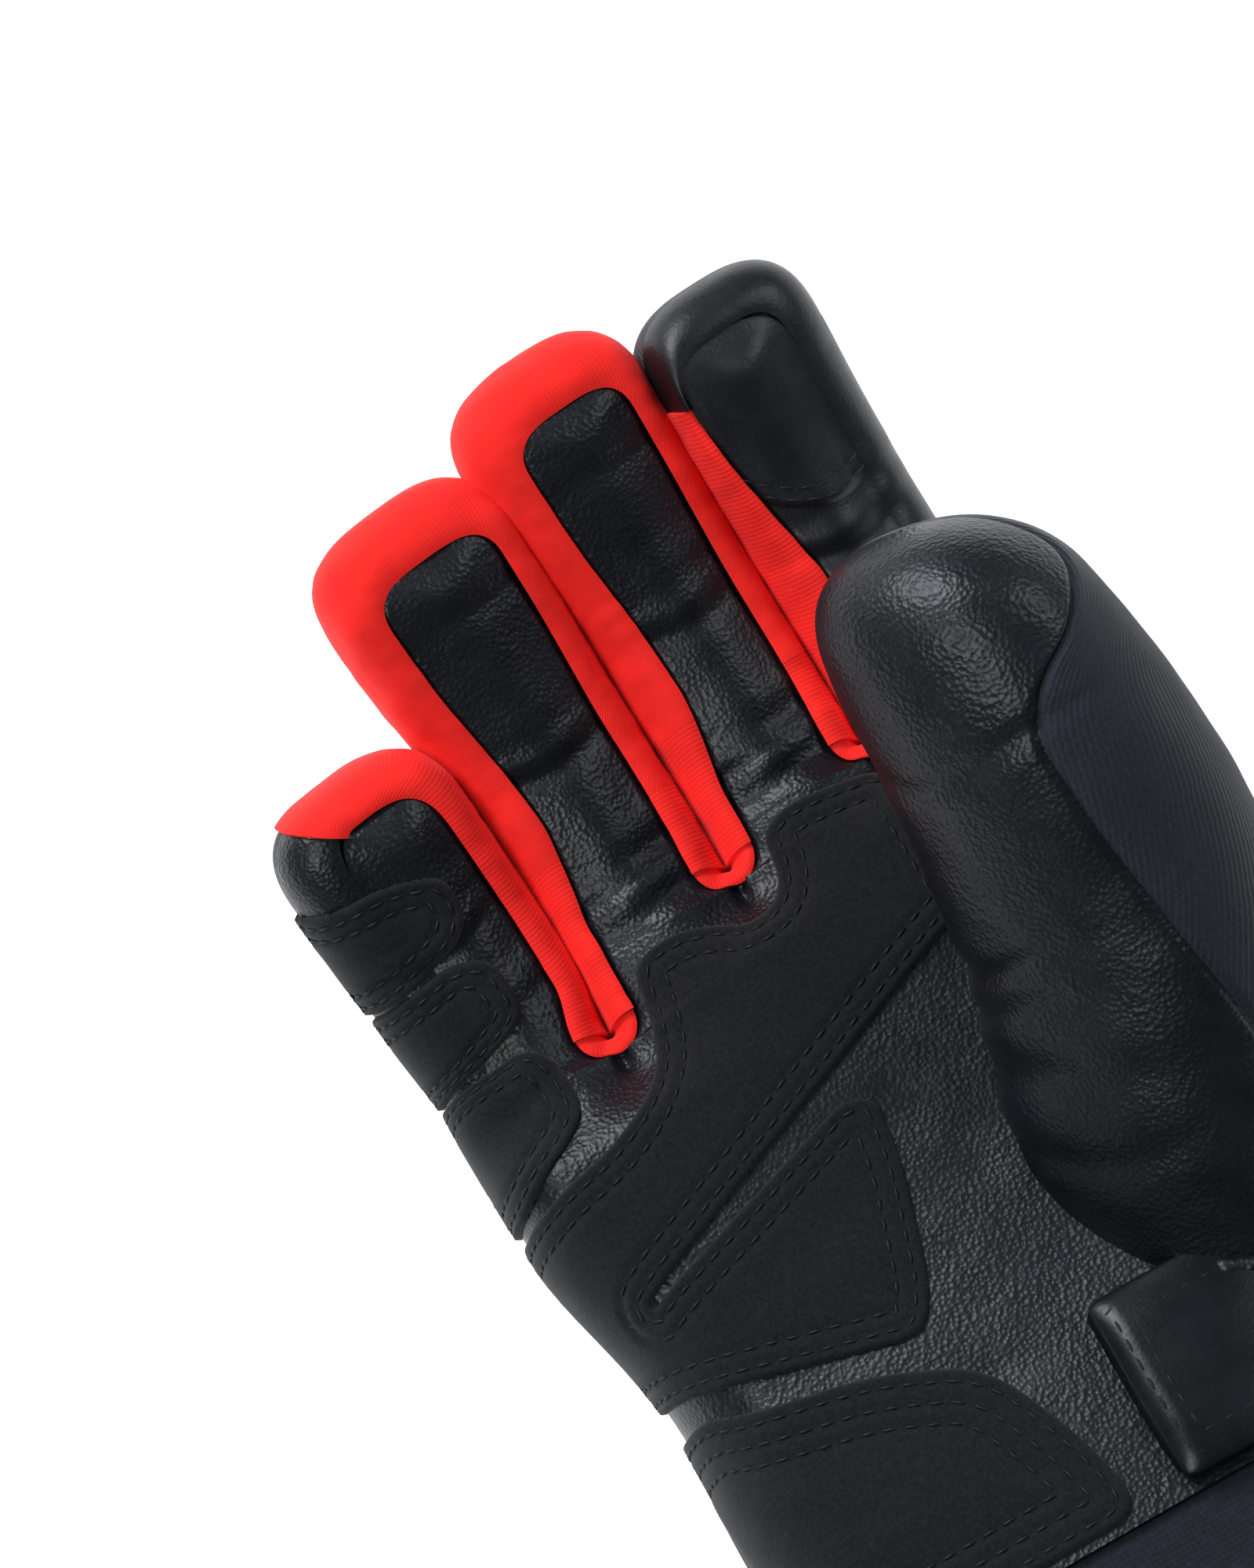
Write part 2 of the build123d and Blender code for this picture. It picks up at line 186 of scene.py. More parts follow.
def steps(start, stop, size):
    """Even steps from start to stop, both included, no longer than size."""
    return np.linspace(start, stop, max(2, int(abs(stop - start) / size) + 2))


def lengths(grid):
    """Distances along the rows and along the columns of a grid, as (across, along) in millimetres."""
    across = np.linalg.norm(np.diff(grid, axis=1), axis=-1)
    along = np.linalg.norm(np.diff(grid, axis=0), axis=-1)
    u = np.concatenate([np.zeros((grid.shape[0], 1)), np.cumsum(across, axis=1)], axis=1)
    v = np.concatenate([np.zeros((1, grid.shape[1])), np.cumsum(along, axis=0)], axis=0)
    u = u - u[:, u.shape[1] // 2][:, None]
    return np.stack([u, np.broadcast_to(v.mean(axis=1, keepdims=True), u.shape)], axis=-1)


# ---- making pieces ----
def grid_faces(rows, columns, first, flip, closed):
    """Quads of a grid, seen from the side where columns cross rows; closed joins the last column to the first."""
    i, j = np.meshgrid(np.arange(rows - 1), np.arange(columns - (not closed)), indexing="ij")
    k = (j + 1) % columns
    quads = np.stack([i * columns + j, i * columns + k, (i + 1) * columns + k, (i + 1) * columns + j], -1)
    quads = quads.reshape(-1, 4) + first
    return quads[:, ::-1] if flip else quads


def make_piece(name, grids, finishes, body, stands_for=(), wall=0.0, weld=0.004):
    """One mesh from grids of points; each grid is (points, flip, finish number, closed).

    Every grid becomes quads; points of neighbouring grids that fall together are joined. Each point
    keeps where it lay at rest and each corner its distances along the cloth, for the finishes.
    """
    points, faces, finish, flat, first = [], [], [], [], 0
    for grid, flip, number, closed in grids:
        rows, columns = grid.shape[:2]
        quads = grid_faces(rows, columns, first, flip, closed)
        points.append(grid.reshape(-1, 3))
        flat.append(lengths(grid).reshape(-1, 2))
        faces.append(quads)
        finish.append(np.full(len(quads), number))
        first += rows * columns
    points, faces = np.concatenate(points), np.concatenate(faces)
    finish, flat = np.concatenate(finish), np.concatenate(flat)
    return finish_mesh(name, points, faces, finish, flat, finishes, body, stands_for, wall, weld)


def finish_mesh(name, points, faces, finish, flat, finishes, body, stands_for=(), wall=0.0, weld=0.004):
    """Mesh object in metres from points and quads in millimetres, with its finish and body."""
    mesh = bpy.data.meshes.new(name)
    mesh.vertices.add(len(points))
    mesh.vertices.foreach_set("co", (points * MM).astype(np.float32).ravel())
    mesh.loops.add(faces.size)
    mesh.loops.foreach_set("vertex_index", faces.ravel().astype(np.int32))
    mesh.polygons.add(len(faces))
    mesh.polygons.foreach_set("loop_start", np.arange(0, faces.size, 4, dtype=np.int32))
    mesh.polygons.foreach_set("material_index", finish.astype(np.int32))
    mesh.update(calc_edges=True)
    cloth = mesh.uv_layers.new(name="cloth")
    cloth.data.foreach_set("uv", (flat[faces.ravel()] * MM).astype(np.float32).ravel())
    for material in finishes:
        mesh.materials.append(material)
    piece = bpy.data.objects.new(name, mesh)
    bpy.context.scene.collection.objects.link(piece)
    work = bmesh.new()
    work.from_mesh(mesh)
    if weld:
        bmesh.ops.remove_doubles(work, verts=work.verts, dist=weld * MM)
    bmesh.ops.dissolve_degenerate(work, edges=work.edges, dist=1e-6)
    for face in work.faces:
        face.smooth = True
    for edge in work.edges:
        edge.smooth = not edge.is_boundary
    work.to_mesh(mesh)
    work.free()
    rest = mesh.attributes.new("rest", "FLOAT_VECTOR", "POINT")
    where = np.zeros(len(mesh.vertices) * 3, np.float32)
    mesh.vertices.foreach_get("co", where)
    rest.data.foreach_set("vector", where)
    if wall:
        layer = piece.modifiers.new("wall", "SOLIDIFY")
        layer.thickness = wall * MM
        layer.offset = -1.0
        layer.use_even_offset = False
    if stands_for:
        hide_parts(*stands_for)
    if isinstance(body, str):
        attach(piece, body)
    else:
        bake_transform(piece)
    return piece


# ---- finishes ----
finishes = {}


class Finish:
    """A material built node by node around one Principled shader."""

    def __init__(self, name, colour, roughness, **sockets):
        self.material = finishes[name] = bpy.data.materials.new(name)
        self.material.use_nodes = True
        self.tree = self.material.node_tree
        self.shader = self.tree.nodes["Principled BSDF"]
        self.shader.inputs["Base Color"].default_value = (*colour, 1.0)
        self.shader.inputs["Roughness"].default_value = roughness
        for socket, value in sockets.items():
            self.shader.inputs[socket.replace("_", " ")].default_value = value
        self.material.diffuse_color = (*colour, 1.0)
        self.bumps = None

    def node(self, kind, settings=None, **inputs):
        made = self.tree.nodes.new("ShaderNode" + kind)
        for key, value in (settings or {}).items():
            setattr(made, key, value)
        for key, value in inputs.items():
            socket = made.inputs[key.replace("_", " ")]
            if hasattr(value, "is_output"):
                self.tree.links.new(value, socket)
            else:
                socket.default_value = value
        return made

    def rest(self):
        return self.node("Attribute", {"attribute_name": "rest"}).outputs["Vector"]

    def cloth(self):
        return self.node("UVMap", {"uv_map": "cloth"}).outputs["UV"]

    def grains(self, scale, detail=2.0, rough=0.5, where=None):
        where = where if where is not None else self.rest()
        return self.node("TexNoise", Vector=where, Scale=scale, Detail=detail, Roughness=rough).outputs["Fac"]

    def pebbles(self, scale, where=None, randomness=1.0):
        where = where if where is not None else self.rest()
        made = self.node("TexVoronoi", {"feature": "SMOOTH_F1"}, Vector=where, Scale=scale, Randomness=randomness)
        made.inputs["Smoothness"].default_value = 0.35
        return made.outputs["Distance"]

    def ribs(self, pitch, angle=0.0, wobble=0.0):
        turned = self.node("Mapping", Vector=self.cloth())
        turned.inputs["Rotation"].default_value[2] = radians(angle)
        made = self.node(
            "TexWave", {"wave_type": "BANDS", "bands_direction": "X"},
            Vector=turned.outputs["Vector"], Scale=pi / (10 * pitch * MM), Distortion=wobble,
        )
        made.inputs["Detail Scale"].default_value = 40.0
        return made.outputs["Fac"]

    def spread(self, value, low, high, dark, light):
        """Value stretched from low..high onto two colours, into the base colour."""
        ramp = self.node("ValToRGB", Fac=value)
        first, last = ramp.color_ramp.elements
        first.position, last.position = low, high
        first.color, last.color = (*dark, 1.0), (*light, 1.0)
        self.tree.links.new(ramp.outputs["Color"], self.shader.inputs["Base Color"])

    def gloss(self, value, low, high):
        spread = self.node("MapRange", Value=value)
        spread.inputs["To Min"].default_value = low
        spread.inputs["To Max"].default_value = high
        self.tree.links.new(spread.outputs["Result"], self.shader.inputs["Roughness"])

    def bump(self, height, strength, depth):
        """One more layer of relief, depth in millimetres."""
        made = self.node("Bump", Height=height, Strength=strength, Distance=depth * MM)
        if self.bumps is not None:
            self.tree.links.new(self.bumps, made.inputs["Normal"])
        self.bumps = made.outputs["Normal"]
        self.tree.links.new(self.bumps, self.shader.inputs["Normal"])


def tint(colour, share):
    return tuple(min(1.0, c * share) for c in colour[:3])


def make_finishes():
    """Every finish, from the colours in the panel."""
    colours = bpy.context.scene.glove_colours
    leather, red = tuple(colours.leather), tuple(colours.stretch)
    suede, shell = tuple(colours.suede), tuple(colours.softshell)

    goat = Finish("goatskin", leather, 0.4, Specular_IOR_Level=0.30)
    goat.spread(goat.grains(90.0, 4.0), 0.3, 0.75, tint(leather, 0.6), tint(leather, 1.7))
    goat.gloss(goat.grains(260.0, 3.0), 0.28, 0.46)
    goat.bump(goat.grains(120.0, 2.0), 0.12, 0.3)
    goat.bump(goat.pebbles(1300.0), 0.55, 0.22)
    goat.bump(goat.grains(2300.0, 2.0), 0.25, 0.08)

    smooth = Finish("smooth_leather", leather, 0.38, Specular_IOR_Level=0.36)
    smooth.spread(smooth.grains(120.0, 3.0), 0.3, 0.75, tint(leather, 0.6), tint(leather, 1.5))
    smooth.gloss(smooth.grains(320.0, 3.0), 0.32, 0.5)
    smooth.bump(smooth.pebbles(1500.0), 0.3, 0.1)
    smooth.bump(smooth.grains(240.0, 3.0), 0.25, 0.3)

    nap = Finish("suede", suede, 0.95, Specular_IOR_Level=0.2, Sheen_Weight=0.12, Sheen_Roughness=0.5)
    nap.spread(nap.grains(1500.0, 3.0, 0.7), 0.32, 0.72, tint(suede, 0.5), tint(suede, 2.1))
    nap.bump(nap.grains(1900.0, 3.0, 0.7), 0.55, 0.22)
    nap.bump(nap.grains(110.0, 2.0), 0.3, 0.5)

    stretch = Finish("stretch_red", red, 0.8, Specular_IOR_Level=0.12, Sheen_Weight=0.08, Sheen_Roughness=0.4)
    stretch.spread(stretch.grains(130.0, 4.0), 0.25, 0.8, tint(red, 0.82), tint(red, 1.06))
    stretch.bump(stretch.ribs(0.75, 0.0, 0.6), 0.35, 0.14)
    stretch.bump(stretch.grains(1700.0, 2.0), 0.25, 0.1)

    soft = Finish("softshell", shell, 0.72, Specular_IOR_Level=0.3, Sheen_Weight=0.18, Sheen_Roughness=0.45)
    soft.spread(soft.grains(2100.0, 3.0, 0.8), 0.42, 0.72, tint(shell, 0.6), tint(shell, 2.8))
    soft.bump(soft.ribs(0.95, 28.0, 0.8), 0.5, 0.2)
    soft.bump(soft.grains(1500.0, 2.0), 0.25, 0.1)

    cuff = Finish("cuff_fabric", tint(shell, 0.8), 0.8, Specular_IOR_Level=0.25, Sheen_Weight=0.1)
    cuff.spread(cuff.grains(900.0, 3.0, 0.7), 0.35, 0.7, tint(shell, 0.5), tint(shell, 1.4))
    cuff.bump(cuff.ribs(0.8, 0.0), 0.4, 0.15)
    cuff.bump(cuff.ribs(0.8, 90.0), 0.4, 0.15)

    fleece = Finish("fleece", tint(shell, 1.6), 1.0, Specular_IOR_Level=0.1, Sheen_Weight=0.6, Sheen_Roughness=0.6)
    fleece.spread(fleece.grains(700.0, 4.0, 0.8), 0.3, 0.7, tint(shell, 0.9), tint(shell, 2.6))
    fleece.bump(fleece.grains(800.0, 4.0, 0.8), 0.9, 0.8)

    wadding = Finish("wadding", (0.62, 0.62, 0.6), 1.0, Specular_IOR_Level=0.1, Sheen_Weight=0.5)
    wadding.spread(wadding.grains(300.0, 4.0), 0.3, 0.7, (0.45, 0.45, 0.43), (0.72, 0.72, 0.7))
    wadding.bump(wadding.grains(500.0, 4.0, 0.8), 0.9, 0.9)

    binding = Finish("binding", tint(leather, 0.9), 0.7, Specular_IOR_Level=0.3)
    binding.spread(binding.grains(1400.0, 2.0), 0.3, 0.7, tint(leather, 0.5), tint(leather, 1.8))
    binding.bump(binding.ribs(0.6, 90.0), 0.6, 0.2)

    hooks = Finish("hook_and_loop", (0.008, 0.008, 0.009), 0.85, Specular_IOR_Level=0.3, Sheen_Weight=0.3)
    hooks.spread(hooks.grains(1300.0, 3.0, 0.8), 0.35, 0.7, (0.004, 0.004, 0.005), (0.03, 0.03, 0.033))
    hooks.bump(hooks.pebbles(1100.0), 0.9, 0.6)

    strap = Finish("strap_leather", tint(leather, 0.8), 0.32, Specular_IOR_Level=0.26)
    strap.spread(strap.grains(150.0, 3.0), 0.3, 0.75, tint(leather, 0.55), tint(leather, 1.4))
    strap.gloss(strap.grains(200.0, 2.0), 0.24, 0.38)
    strap.bump(strap.pebbles(1500.0), 0.22, 0.08)

    thread = Finish("thread", tint(leather, 0.9), 0.55, Specular_IOR_Level=0.3)
    thread.spread(thread.grains(2500.0, 2.0), 0.3, 0.7, tint(leather, 0.7), tint(leather, 2.0))
    thread.bump(thread.grains(4200.0, 1.0), 0.5, 0.06)


# ---- a finger's own frame: a across, s along and h out of the palm ----
base_tilt, tip_tilt = 12.5, 35.0
roll_angle = 10.0


def finger_frame(finger, s):
    """Centre, across, along and out-of-palm directions at distances s along a finger.

    The centre line runs straight along +Y in the hand. From the bend on it tilts and turns by eased
    steps, one at the bend and one over the middle joint. The centre is the running sum of the
    direction, and the section rolls towards the thumb.
    """
    def angles(at):
        first = ease((at - finger.bend + 2) / 14)
        tilt = radians(base_tilt) * first
        tilt = tilt + radians(tip_tilt - base_tilt) * ease((at - finger.middle + 26) / 52)
        return tilt, radians(finger.splay) * first, radians(roll_angle) * ease((at - finger.bend) / 26)

    line = np.linspace(finger.bend - 10, finger.length + 20, 700)
    tilt, turn, roll = angles(line)
    heading = np.stack([np.sin(turn) * np.cos(tilt), np.cos(turn) * np.cos(tilt), np.sin(tilt)], -1)
    walk = np.concatenate([[np.zeros(3)], np.cumsum(heading[:-1] * np.diff(line)[:, None], axis=0)])
    walk += (finger.centre, line[0], stall_z)
    s = np.asarray(s, float)
    centre = np.stack([np.interp(s, line, walk[:, k]) for k in range(3)], -1)
    centre[..., 1] = np.where(s < line[0], s, centre[..., 1])
    tilt, turn, roll = angles(s)
    along = np.stack([np.sin(turn) * np.cos(tilt), np.cos(turn) * np.cos(tilt), np.sin(tilt)], -1)
    across = np.stack([np.cos(turn), -np.sin(turn), np.zeros_like(turn)], -1)
    out = np.cross(across, along)
    c, t = np.cos(roll)[..., None], np.sin(roll)[..., None]
    return centre, across * c - out * t, along, out * c + across * t


def placed(finger, a, s, h):
    """Points of a finger's frame in the glove's own frame: centre + a across + h out of the palm."""
    a, s, h = np.broadcast_arrays(a, s, h)
    centre, across, _, out = finger_frame(finger, s)
    return centre + across * a[..., None] + out * h[..., None]


def half_width(finger, side, s):
    """Half width on one side: the share of the hand up to the bend, then slowly wider to the tip."""
    k = 0 if side < 0 else 1
    inner = finger_wall(finger, side)
    gap = slit_gap / 2 if inner else 0.0
    grown = finger.half[k] - gap + (finger.growth[k] * np.clip(s - finger.bend, 0, None) if inner else 0.0)
    if finger.name == "pinky" and inner:
        grown = grown + 1.5 * ease((s - finger.bend) / 12)
    free = finger.length - 52 if inner else finger.bend
    grown = grown + finger.swell[k] * ease((s - free) / 30)
    if inner:
        return grown
    column = 3 if side < 0 else 4
    outline = np.abs(through(np.minimum(s, finger.bend), girths, column) - finger.centre)
    at_bend = np.abs(through(np.array(finger.bend), girths, column) - finger.centre)
    settled = at_bend + (finger.half[k] - at_bend) * ease((s - finger.bend) / 40)
    settled = settled + finger.swell[k] * ease((s - free) / 30)
    return np.where(s < finger.bend, outline, settled)


def finger_wall(finger, side):
    """Whether a finger has a neighbour on that side."""
    return not (finger.name == "pinky" and side < 0) and not (finger.name == "index" and side > 0)


def side_inset(finger, side, s):
    """How far in from the outline the flat part ends: the rounded side, or the stretch fabric's edge."""
    s = np.asarray(s, float)
    if finger_wall(finger, side):
        inset = crotch_inset + (panel_inset - crotch_inset) * ease((s - finger.bend) / 25)
        if finger.name == "index":
            inset = inset * (1 - 0.78 * ease((s - finger.length + 58) / 40))
        return inset
    return leather_inset + (corner - leather_inset) * (1 - ease((s - finger.bend + 40) / 40))


def flat_edge(finger, side, s):
    """Where the flat part ends on one side of a finger or its strip of the hand, across.

    Behind a slit the strips meet; round its end they leave a quarter circle; beyond it the edge is the
    outline less the inset.
    """
    s = np.asarray(s, float)
    k = 0 if side < 0 else 1
    edge = half_width(finger, side, s) - side_inset(finger, side, s)
    if finger_wall(finger, side):
        crotch = finger.left_crotch if side < 0 else finger.right_crotch
        behind = np.clip(crotch - s, 0, crotch_reach)
        edge = np.where(s < crotch, finger.half[k] - np.sqrt(crotch_reach**2 - behind**2), edge)
    return edge * side


def thinning(finger, s):
    """Share of the section's height left towards the tip."""
    return 1 - 0.13 * ease((s - finger.bend) / (finger.length - finger.bend))


def is_red(finger, side):
    return finger.red[0 if side < 0 else 2]


def flat_height(finger, a, s, face):
    """Height of the flat part over a finger's centre line, palm side (face 1) or back (face -1).

    In the hand it is the palm's own height; within the last stretch behind each slit it eases into the
    finger's crowned panel, edge height plus crown times the square of one less the square of the share across.
    """
    s = np.asarray(s, float)
    low, high = flat_edge(finger, -1, s), flat_edge(finger, 1, s)
    u = np.clip(2 * (a - low) / (high - low) - 1, -1, 1)
    x = a + finger.centre
    rise = panel_rise if face > 0 else -panel_drop
    crown = panel_crown * (1 - u * u) ** 2
    stall = (rise + face * crown) * thinning(finger, s)
    palm = through(s, girths, 1 if face > 0 else 2) - stall_z
    span = np.clip(np.abs(x) / 42.0, 0, 1)
    palm = palm + face * 1.2 * (1 - span**2) ** 2
    if face > 0:
        palm = palm - 2.2 * np.exp(-(((x - 2) / 26) ** 2) - ((s + 20) / 26) ** 2)
    near = [ease((s - (crotch - crotch_reach - 15)) / 14) for crotch in (finger.left_crotch, finger.right_crotch)]
    share = near[0] + (near[1] - near[0]) * ease((u + 1) / 2)
    height = palm * (1 - share) + stall * share
    for side in (-1, 1):
        if finger_wall(finger, side):
            k = near[0] if side < 0 else near[1]
            distance = (high - a) if side > 0 else (a - low)
            tuck = seam_tuck * (1 - ease(distance / tuck_width)) * ease((k - 0.75) * 4)
            height = height - face * tuck
    return height


def seam_height(finger, s):
    """Height of the side seam over the centre line, eased from the hand's seam to the finger's middle."""
    return (seam_z - stall_z) * (1 - ease((s - finger.bend + 30) / 30))


def skin_point(finger, q, s, face=1, lift=0.0):
    """A point of the leather over a finger or its strip of the hand.

    q runs across: inside the flat part it is the distance from the centre line, and past its edge it is
    the length round the rounded side, a quarter ellipse down to the side seam. lift moves out.
    """
    q, s, lift = np.broadcast_arrays(np.asarray(q, float), np.asarray(s, float), np.asarray(lift, float))
    low, high = flat_edge(finger, -1, s), flat_edge(finger, 1, s)
    a = np.clip(q, low, high)
    over = q - a
    side = np.sign(over)
    top = flat_height(finger, a, s, face)
    seam = seam_height(finger, s)
    inset = np.where(side < 0, side_inset(finger, -1, s), side_inset(finger, 1, s))
    rise = np.abs(top - seam)
    angle = np.clip(np.abs(over) / ((inset + rise) / 2), 0, pi / 2)
    spread = a + side * (inset + lift) * np.sin(angle)
    h = seam + face * (rise + lift) * np.cos(angle)
    flat = placed(finger, a + side * inset * np.sin(angle), s, seam + face * rise * np.cos(angle))
    return placed(finger, spread, s, h) + relief(finger, flat, q, s, face)


def side_length(finger, side, s, face=1):
    """q at the side seam."""
    edge = flat_edge(finger, side, s)
    rise = np.abs(flat_height(finger, edge, s, face) - seam_height(finger, s))
    return edge + side * (side_inset(finger, side, s) + rise) / 2 * pi / 2


def across_steps(finger, s, face):
    """Values of q across one strip at each s: rounded side, flat part, rounded side."""
    low, high = flat_edge(finger, -1, s), flat_edge(finger, 1, s)
    flat = low[:, None] + (high - low)[:, None] * (0.5 - 0.5 * np.cos(np.linspace(0, pi, 34)))[None, :]
    parts = [flat]
    round_steps = np.linspace(0, 1, 15)
    if not finger_wall(finger, -1):
        far = side_length(finger, -1, s, face)
        parts.insert(0, (far[:, None] + (low - far)[:, None] * round_steps[None, :])[:, :-1])
    if not finger_wall(finger, 1):
        far = side_length(finger, 1, s, face)
        parts.append((high[:, None] + (far - high)[:, None] * round_steps[None, :])[:, 1:])
    return np.concatenate(parts, axis=1)


# ---- folds: where the leather creases across a finger or the palm ----
fold_spots = {
    "pinky": ((16, 0.5, 2.2), (22, 0.4, 2.0), (33, 0.35, 2.4), (49, 0.7, 1.8), (54, 0.3, 1.6)),
    "ring": ((33, 0.9, 2.4), (38.5, 0.8, 2.0), (45, 0.6, 2.6), (67, 0.9, 2.2), (73, 0.5, 2.2), (97, 0.4, 2.0)),
    "middle": ((42, 0.9, 2.4), (47, 1.0, 2.0), (54, 0.6, 2.4), (77, 0.8, 2.4), (84, 0.5, 2.2), (107, 0.35, 2.0)),
    "index": ((42, 0.7, 2.4), (49, 0.6, 2.2), (56, 0.6, 2.6), (75, 0.9, 2.2), (82, 0.3, 1.8)),
}


def folds(finger, a, s):
    """Depth of the creases: a few bowed lines across the finger, each a bell of its own width."""
    depth = np.zeros(np.broadcast(a, s).shape)
    for number, (at, deep, wide) in enumerate(fold_spots[finger.name]):
        bow = at + 0.012 * (a - 3 * sin(number * 2.1)) ** 2 + 1.1 * np.sin(a / 5.1 + number * 1.7)
        fade = 0.55 + 0.45 * np.cos(a / 7.0 + number * 2.4)
        depth += deep * fade * np.exp(-(((s - bow) / wide) ** 2))
        depth -= 0.4 * deep * fade * np.exp(-(((s - bow - 1.9 * wide) / wide) ** 2))
    return depth


def relief(finger, grid, a, s, face):
    """Soft unevenness and creases of the skin, straight out of the palm or the back, as vectors.

    It depends only on the place, so that neighbouring pieces meet in the same points."""
    amount = noise(grid * np.array((0.8, 1.4, 0.8)), 12.0, 3 + face) + 0.35 * noise(grid, 5.0, 9 + face)
    amount = amount * ease((grid[..., 1] - hand_start) / 6)
    depth = folds(finger, a, s) * ease((s - finger.bend + 22) / 12) * (1.0 if face > 0 else 0.45)
    _, _, _, out = finger_frame(finger, s)
    return out * (face * (ripple() * amount - depth))[..., None]


# ---- a finger's rounded end ----
pinky_red_end = -0.62    # share of the half width where red gives way to leather on the little fingertip


def disc(u, v, power):
    """Half square to half superellipse: elliptical grid mapping, then each ray stretched to the curve."""
    x, y = u * np.sqrt(1 - v * v / 2), v * np.sqrt(1 - u * u / 2)
    r = np.hypot(x, y) + 1e-9
    c, t = np.abs(x) / r, np.abs(y) / r
    stretch = (c**power + t**power) ** (-1 / power)
    return x * stretch, y * stretch


def cap_base(finger):
    return finger.length - tip_length


def cap_panel(finger, face, columns, rows=12, lift=0.0):
    """Rounded end of the front or back panel, on the half square mapped to a rounded shape.

    Across and along are the disc's x and y times the half width and the cap's length; the height is the
    panel's crown, lowered with the square of the way along and tucked in at a stitched edge.
    """
    at = cap_base(finger)
    low, high = flat_edge(finger, -1, np.array([at]))[0], flat_edge(finger, 1, np.array([at]))[0]
    u, v = np.meshgrid(columns, np.sin(np.linspace(0, pi / 2, rows)), indexing="xy")
    x, y = disc(u, v, 3.0 if face > 0 else 2.6)
    a = (low + high) / 2 + x * (high - low) / 2
    s = at + y * (tip_length - finger.tip_inset)
    edge = (np.abs(u) ** 8 + np.abs(v) ** 8) ** (1 / 8)
    rise = panel_rise if face > 0 else -panel_drop
    height = (rise + face * panel_crown * (1 - np.minimum(edge, 1) ** 2) ** 2) * thinning(finger, s)
    height = height * (1 - 0.1 * y * y)
    sewn = finger.red[1]
    inward = (1 - np.minimum(edge, 1)) * (high - low) / 2
    strength = np.where(u < 0, is_red(finger, -1), is_red(finger, 1)) * (1 - ease(v / 0.7)) + sewn * ease(v / 0.7)
    if finger.name == "pinky":
        strength = strength * ease((x - pinky_red_end) / 0.2)
    height = height - face * seam_tuck * (1 - ease(inward / tuck_width)) * strength
    flat = placed(finger, a, s, height)
    return placed(finger, a, s, height + face * lift) + relief(finger, flat, a, s, face)


def outline_points(finger, x, y, straight_s, side_in, swing):
    """Band between the front panel, the outline and the back panel.

    For a direction (x, y) of the outline and an angle round the edge, the point is the outline less the
    inset times one less the sine, at a height of the cosine times the panel's height: two quarter
    ellipses that meet on the outline.
    """
    inset = side_in * (1 - np.sin(swing))
    left, right = half_width(finger, -1, straight_s), half_width(finger, 1, straight_s)
    half = np.where(x < 0, left, right) - inset
    a = x * half
    reach = tip_length - finger.tip_inset * (1 - np.sin(swing))
    s = straight_s + y * reach
    rise = np.where(np.cos(swing) > 0, panel_rise * (1 - 0.1 * y * y), panel_drop)
    h = np.cos(swing) * rise * thinning(finger, s)
    return placed(finger, a, s, h)


def edge_path(start_left, start_right, high_at, columns):
    """Directions and distances round a fingertip: up the left side, over the end, down the right side."""
    x, y, s = [], [], []
    rise = steps(start_left, high_at, 0.9)
    x.append(-np.ones(len(rise)))
    y.append(np.zeros(len(rise)))
    s.append(rise)
    climb = np.sin(np.linspace(0, pi / 2, 12))[1:]
    for u, v in ((-np.ones(11), climb), (columns[1:-1], np.ones(len(columns) - 2)), (np.ones(11), climb[::-1])):
        dx, dy = disc(u, v, 3.0)
        x.append(dx)
        y.append(dy)
        s.append(np.full(len(dx), high_at))
    fall = steps(start_right, high_at, 0.9)[::-1]
    x.append(np.ones(len(fall)))
    y.append(np.zeros(len(fall)))
    s.append(fall)
    return np.concatenate(x), np.concatenate(y), np.concatenate(s)


def band_grid(finger, x, y, s, first, last, count=22):
    """Grid of the band round the edge: rows go round the edge, columns follow the outline."""
    swing = np.linspace(first, last, count)[:, None]
    side_in = np.where(
        x < 0,
        side_inset(finger, -1, np.minimum(s, cap_base(finger))),
        side_inset(finger, 1, np.minimum(s, cap_base(finger))),
    )
    return outline_points(finger, x[None, :], y[None, :], s[None, :], side_in[None, :], swing)


# ---- sizes and colours ----
class GloveSizes(bpy.types.PropertyGroup):
    """Sizes that a maker would change."""

    leather_wall: bpy.props.FloatProperty(
        name="Leather", description="Thickness of the leather", default=0.0012, unit="LENGTH")
    patch_wall: bpy.props.FloatProperty(
        name="Suede", description="Thickness of a suede patch with its filler", default=0.0012, unit="LENGTH")
    stitch_pitch: bpy.props.FloatProperty(
        name="Stitch pitch", description="From one stitch to the next", default=0.0034, unit="LENGTH")
    thread_width: bpy.props.FloatProperty(
        name="Thread", description="Diameter of the sewing thread", default=0.00048, unit="LENGTH")
    wrinkle: bpy.props.FloatProperty(
        name="Wrinkle", description="Depth of the leather's soft wrinkles", default=0.00032, unit="LENGTH")


class GloveColours(bpy.types.PropertyGroup):
    """Colours that a maker would change."""

    leather: bpy.props.FloatVectorProperty(
        name="Leather", description="Blue-black goatskin", subtype="COLOR", size=3, default=(0.0040, 0.0048, 0.0072))
    suede: bpy.props.FloatVectorProperty(
        name="Suede", description="Warm black suede", subtype="COLOR", size=3, default=(0.0054, 0.0056, 0.0062))
    stretch: bpy.props.FloatVectorProperty(
        name="Stretch fabric", description="Red sides of the fingers", subtype="COLOR", size=3,
        default=(0.94, 0.022, 0.017))
    softshell: bpy.props.FloatVectorProperty(
        name="Softshell", description="Navy softshell", subtype="COLOR", size=3, default=(0.0055, 0.0070, 0.0135))


def wall():
    return bpy.context.scene.glove_sizes.leather_wall / MM


def ripple():
    return bpy.context.scene.glove_sizes.wrinkle / MM


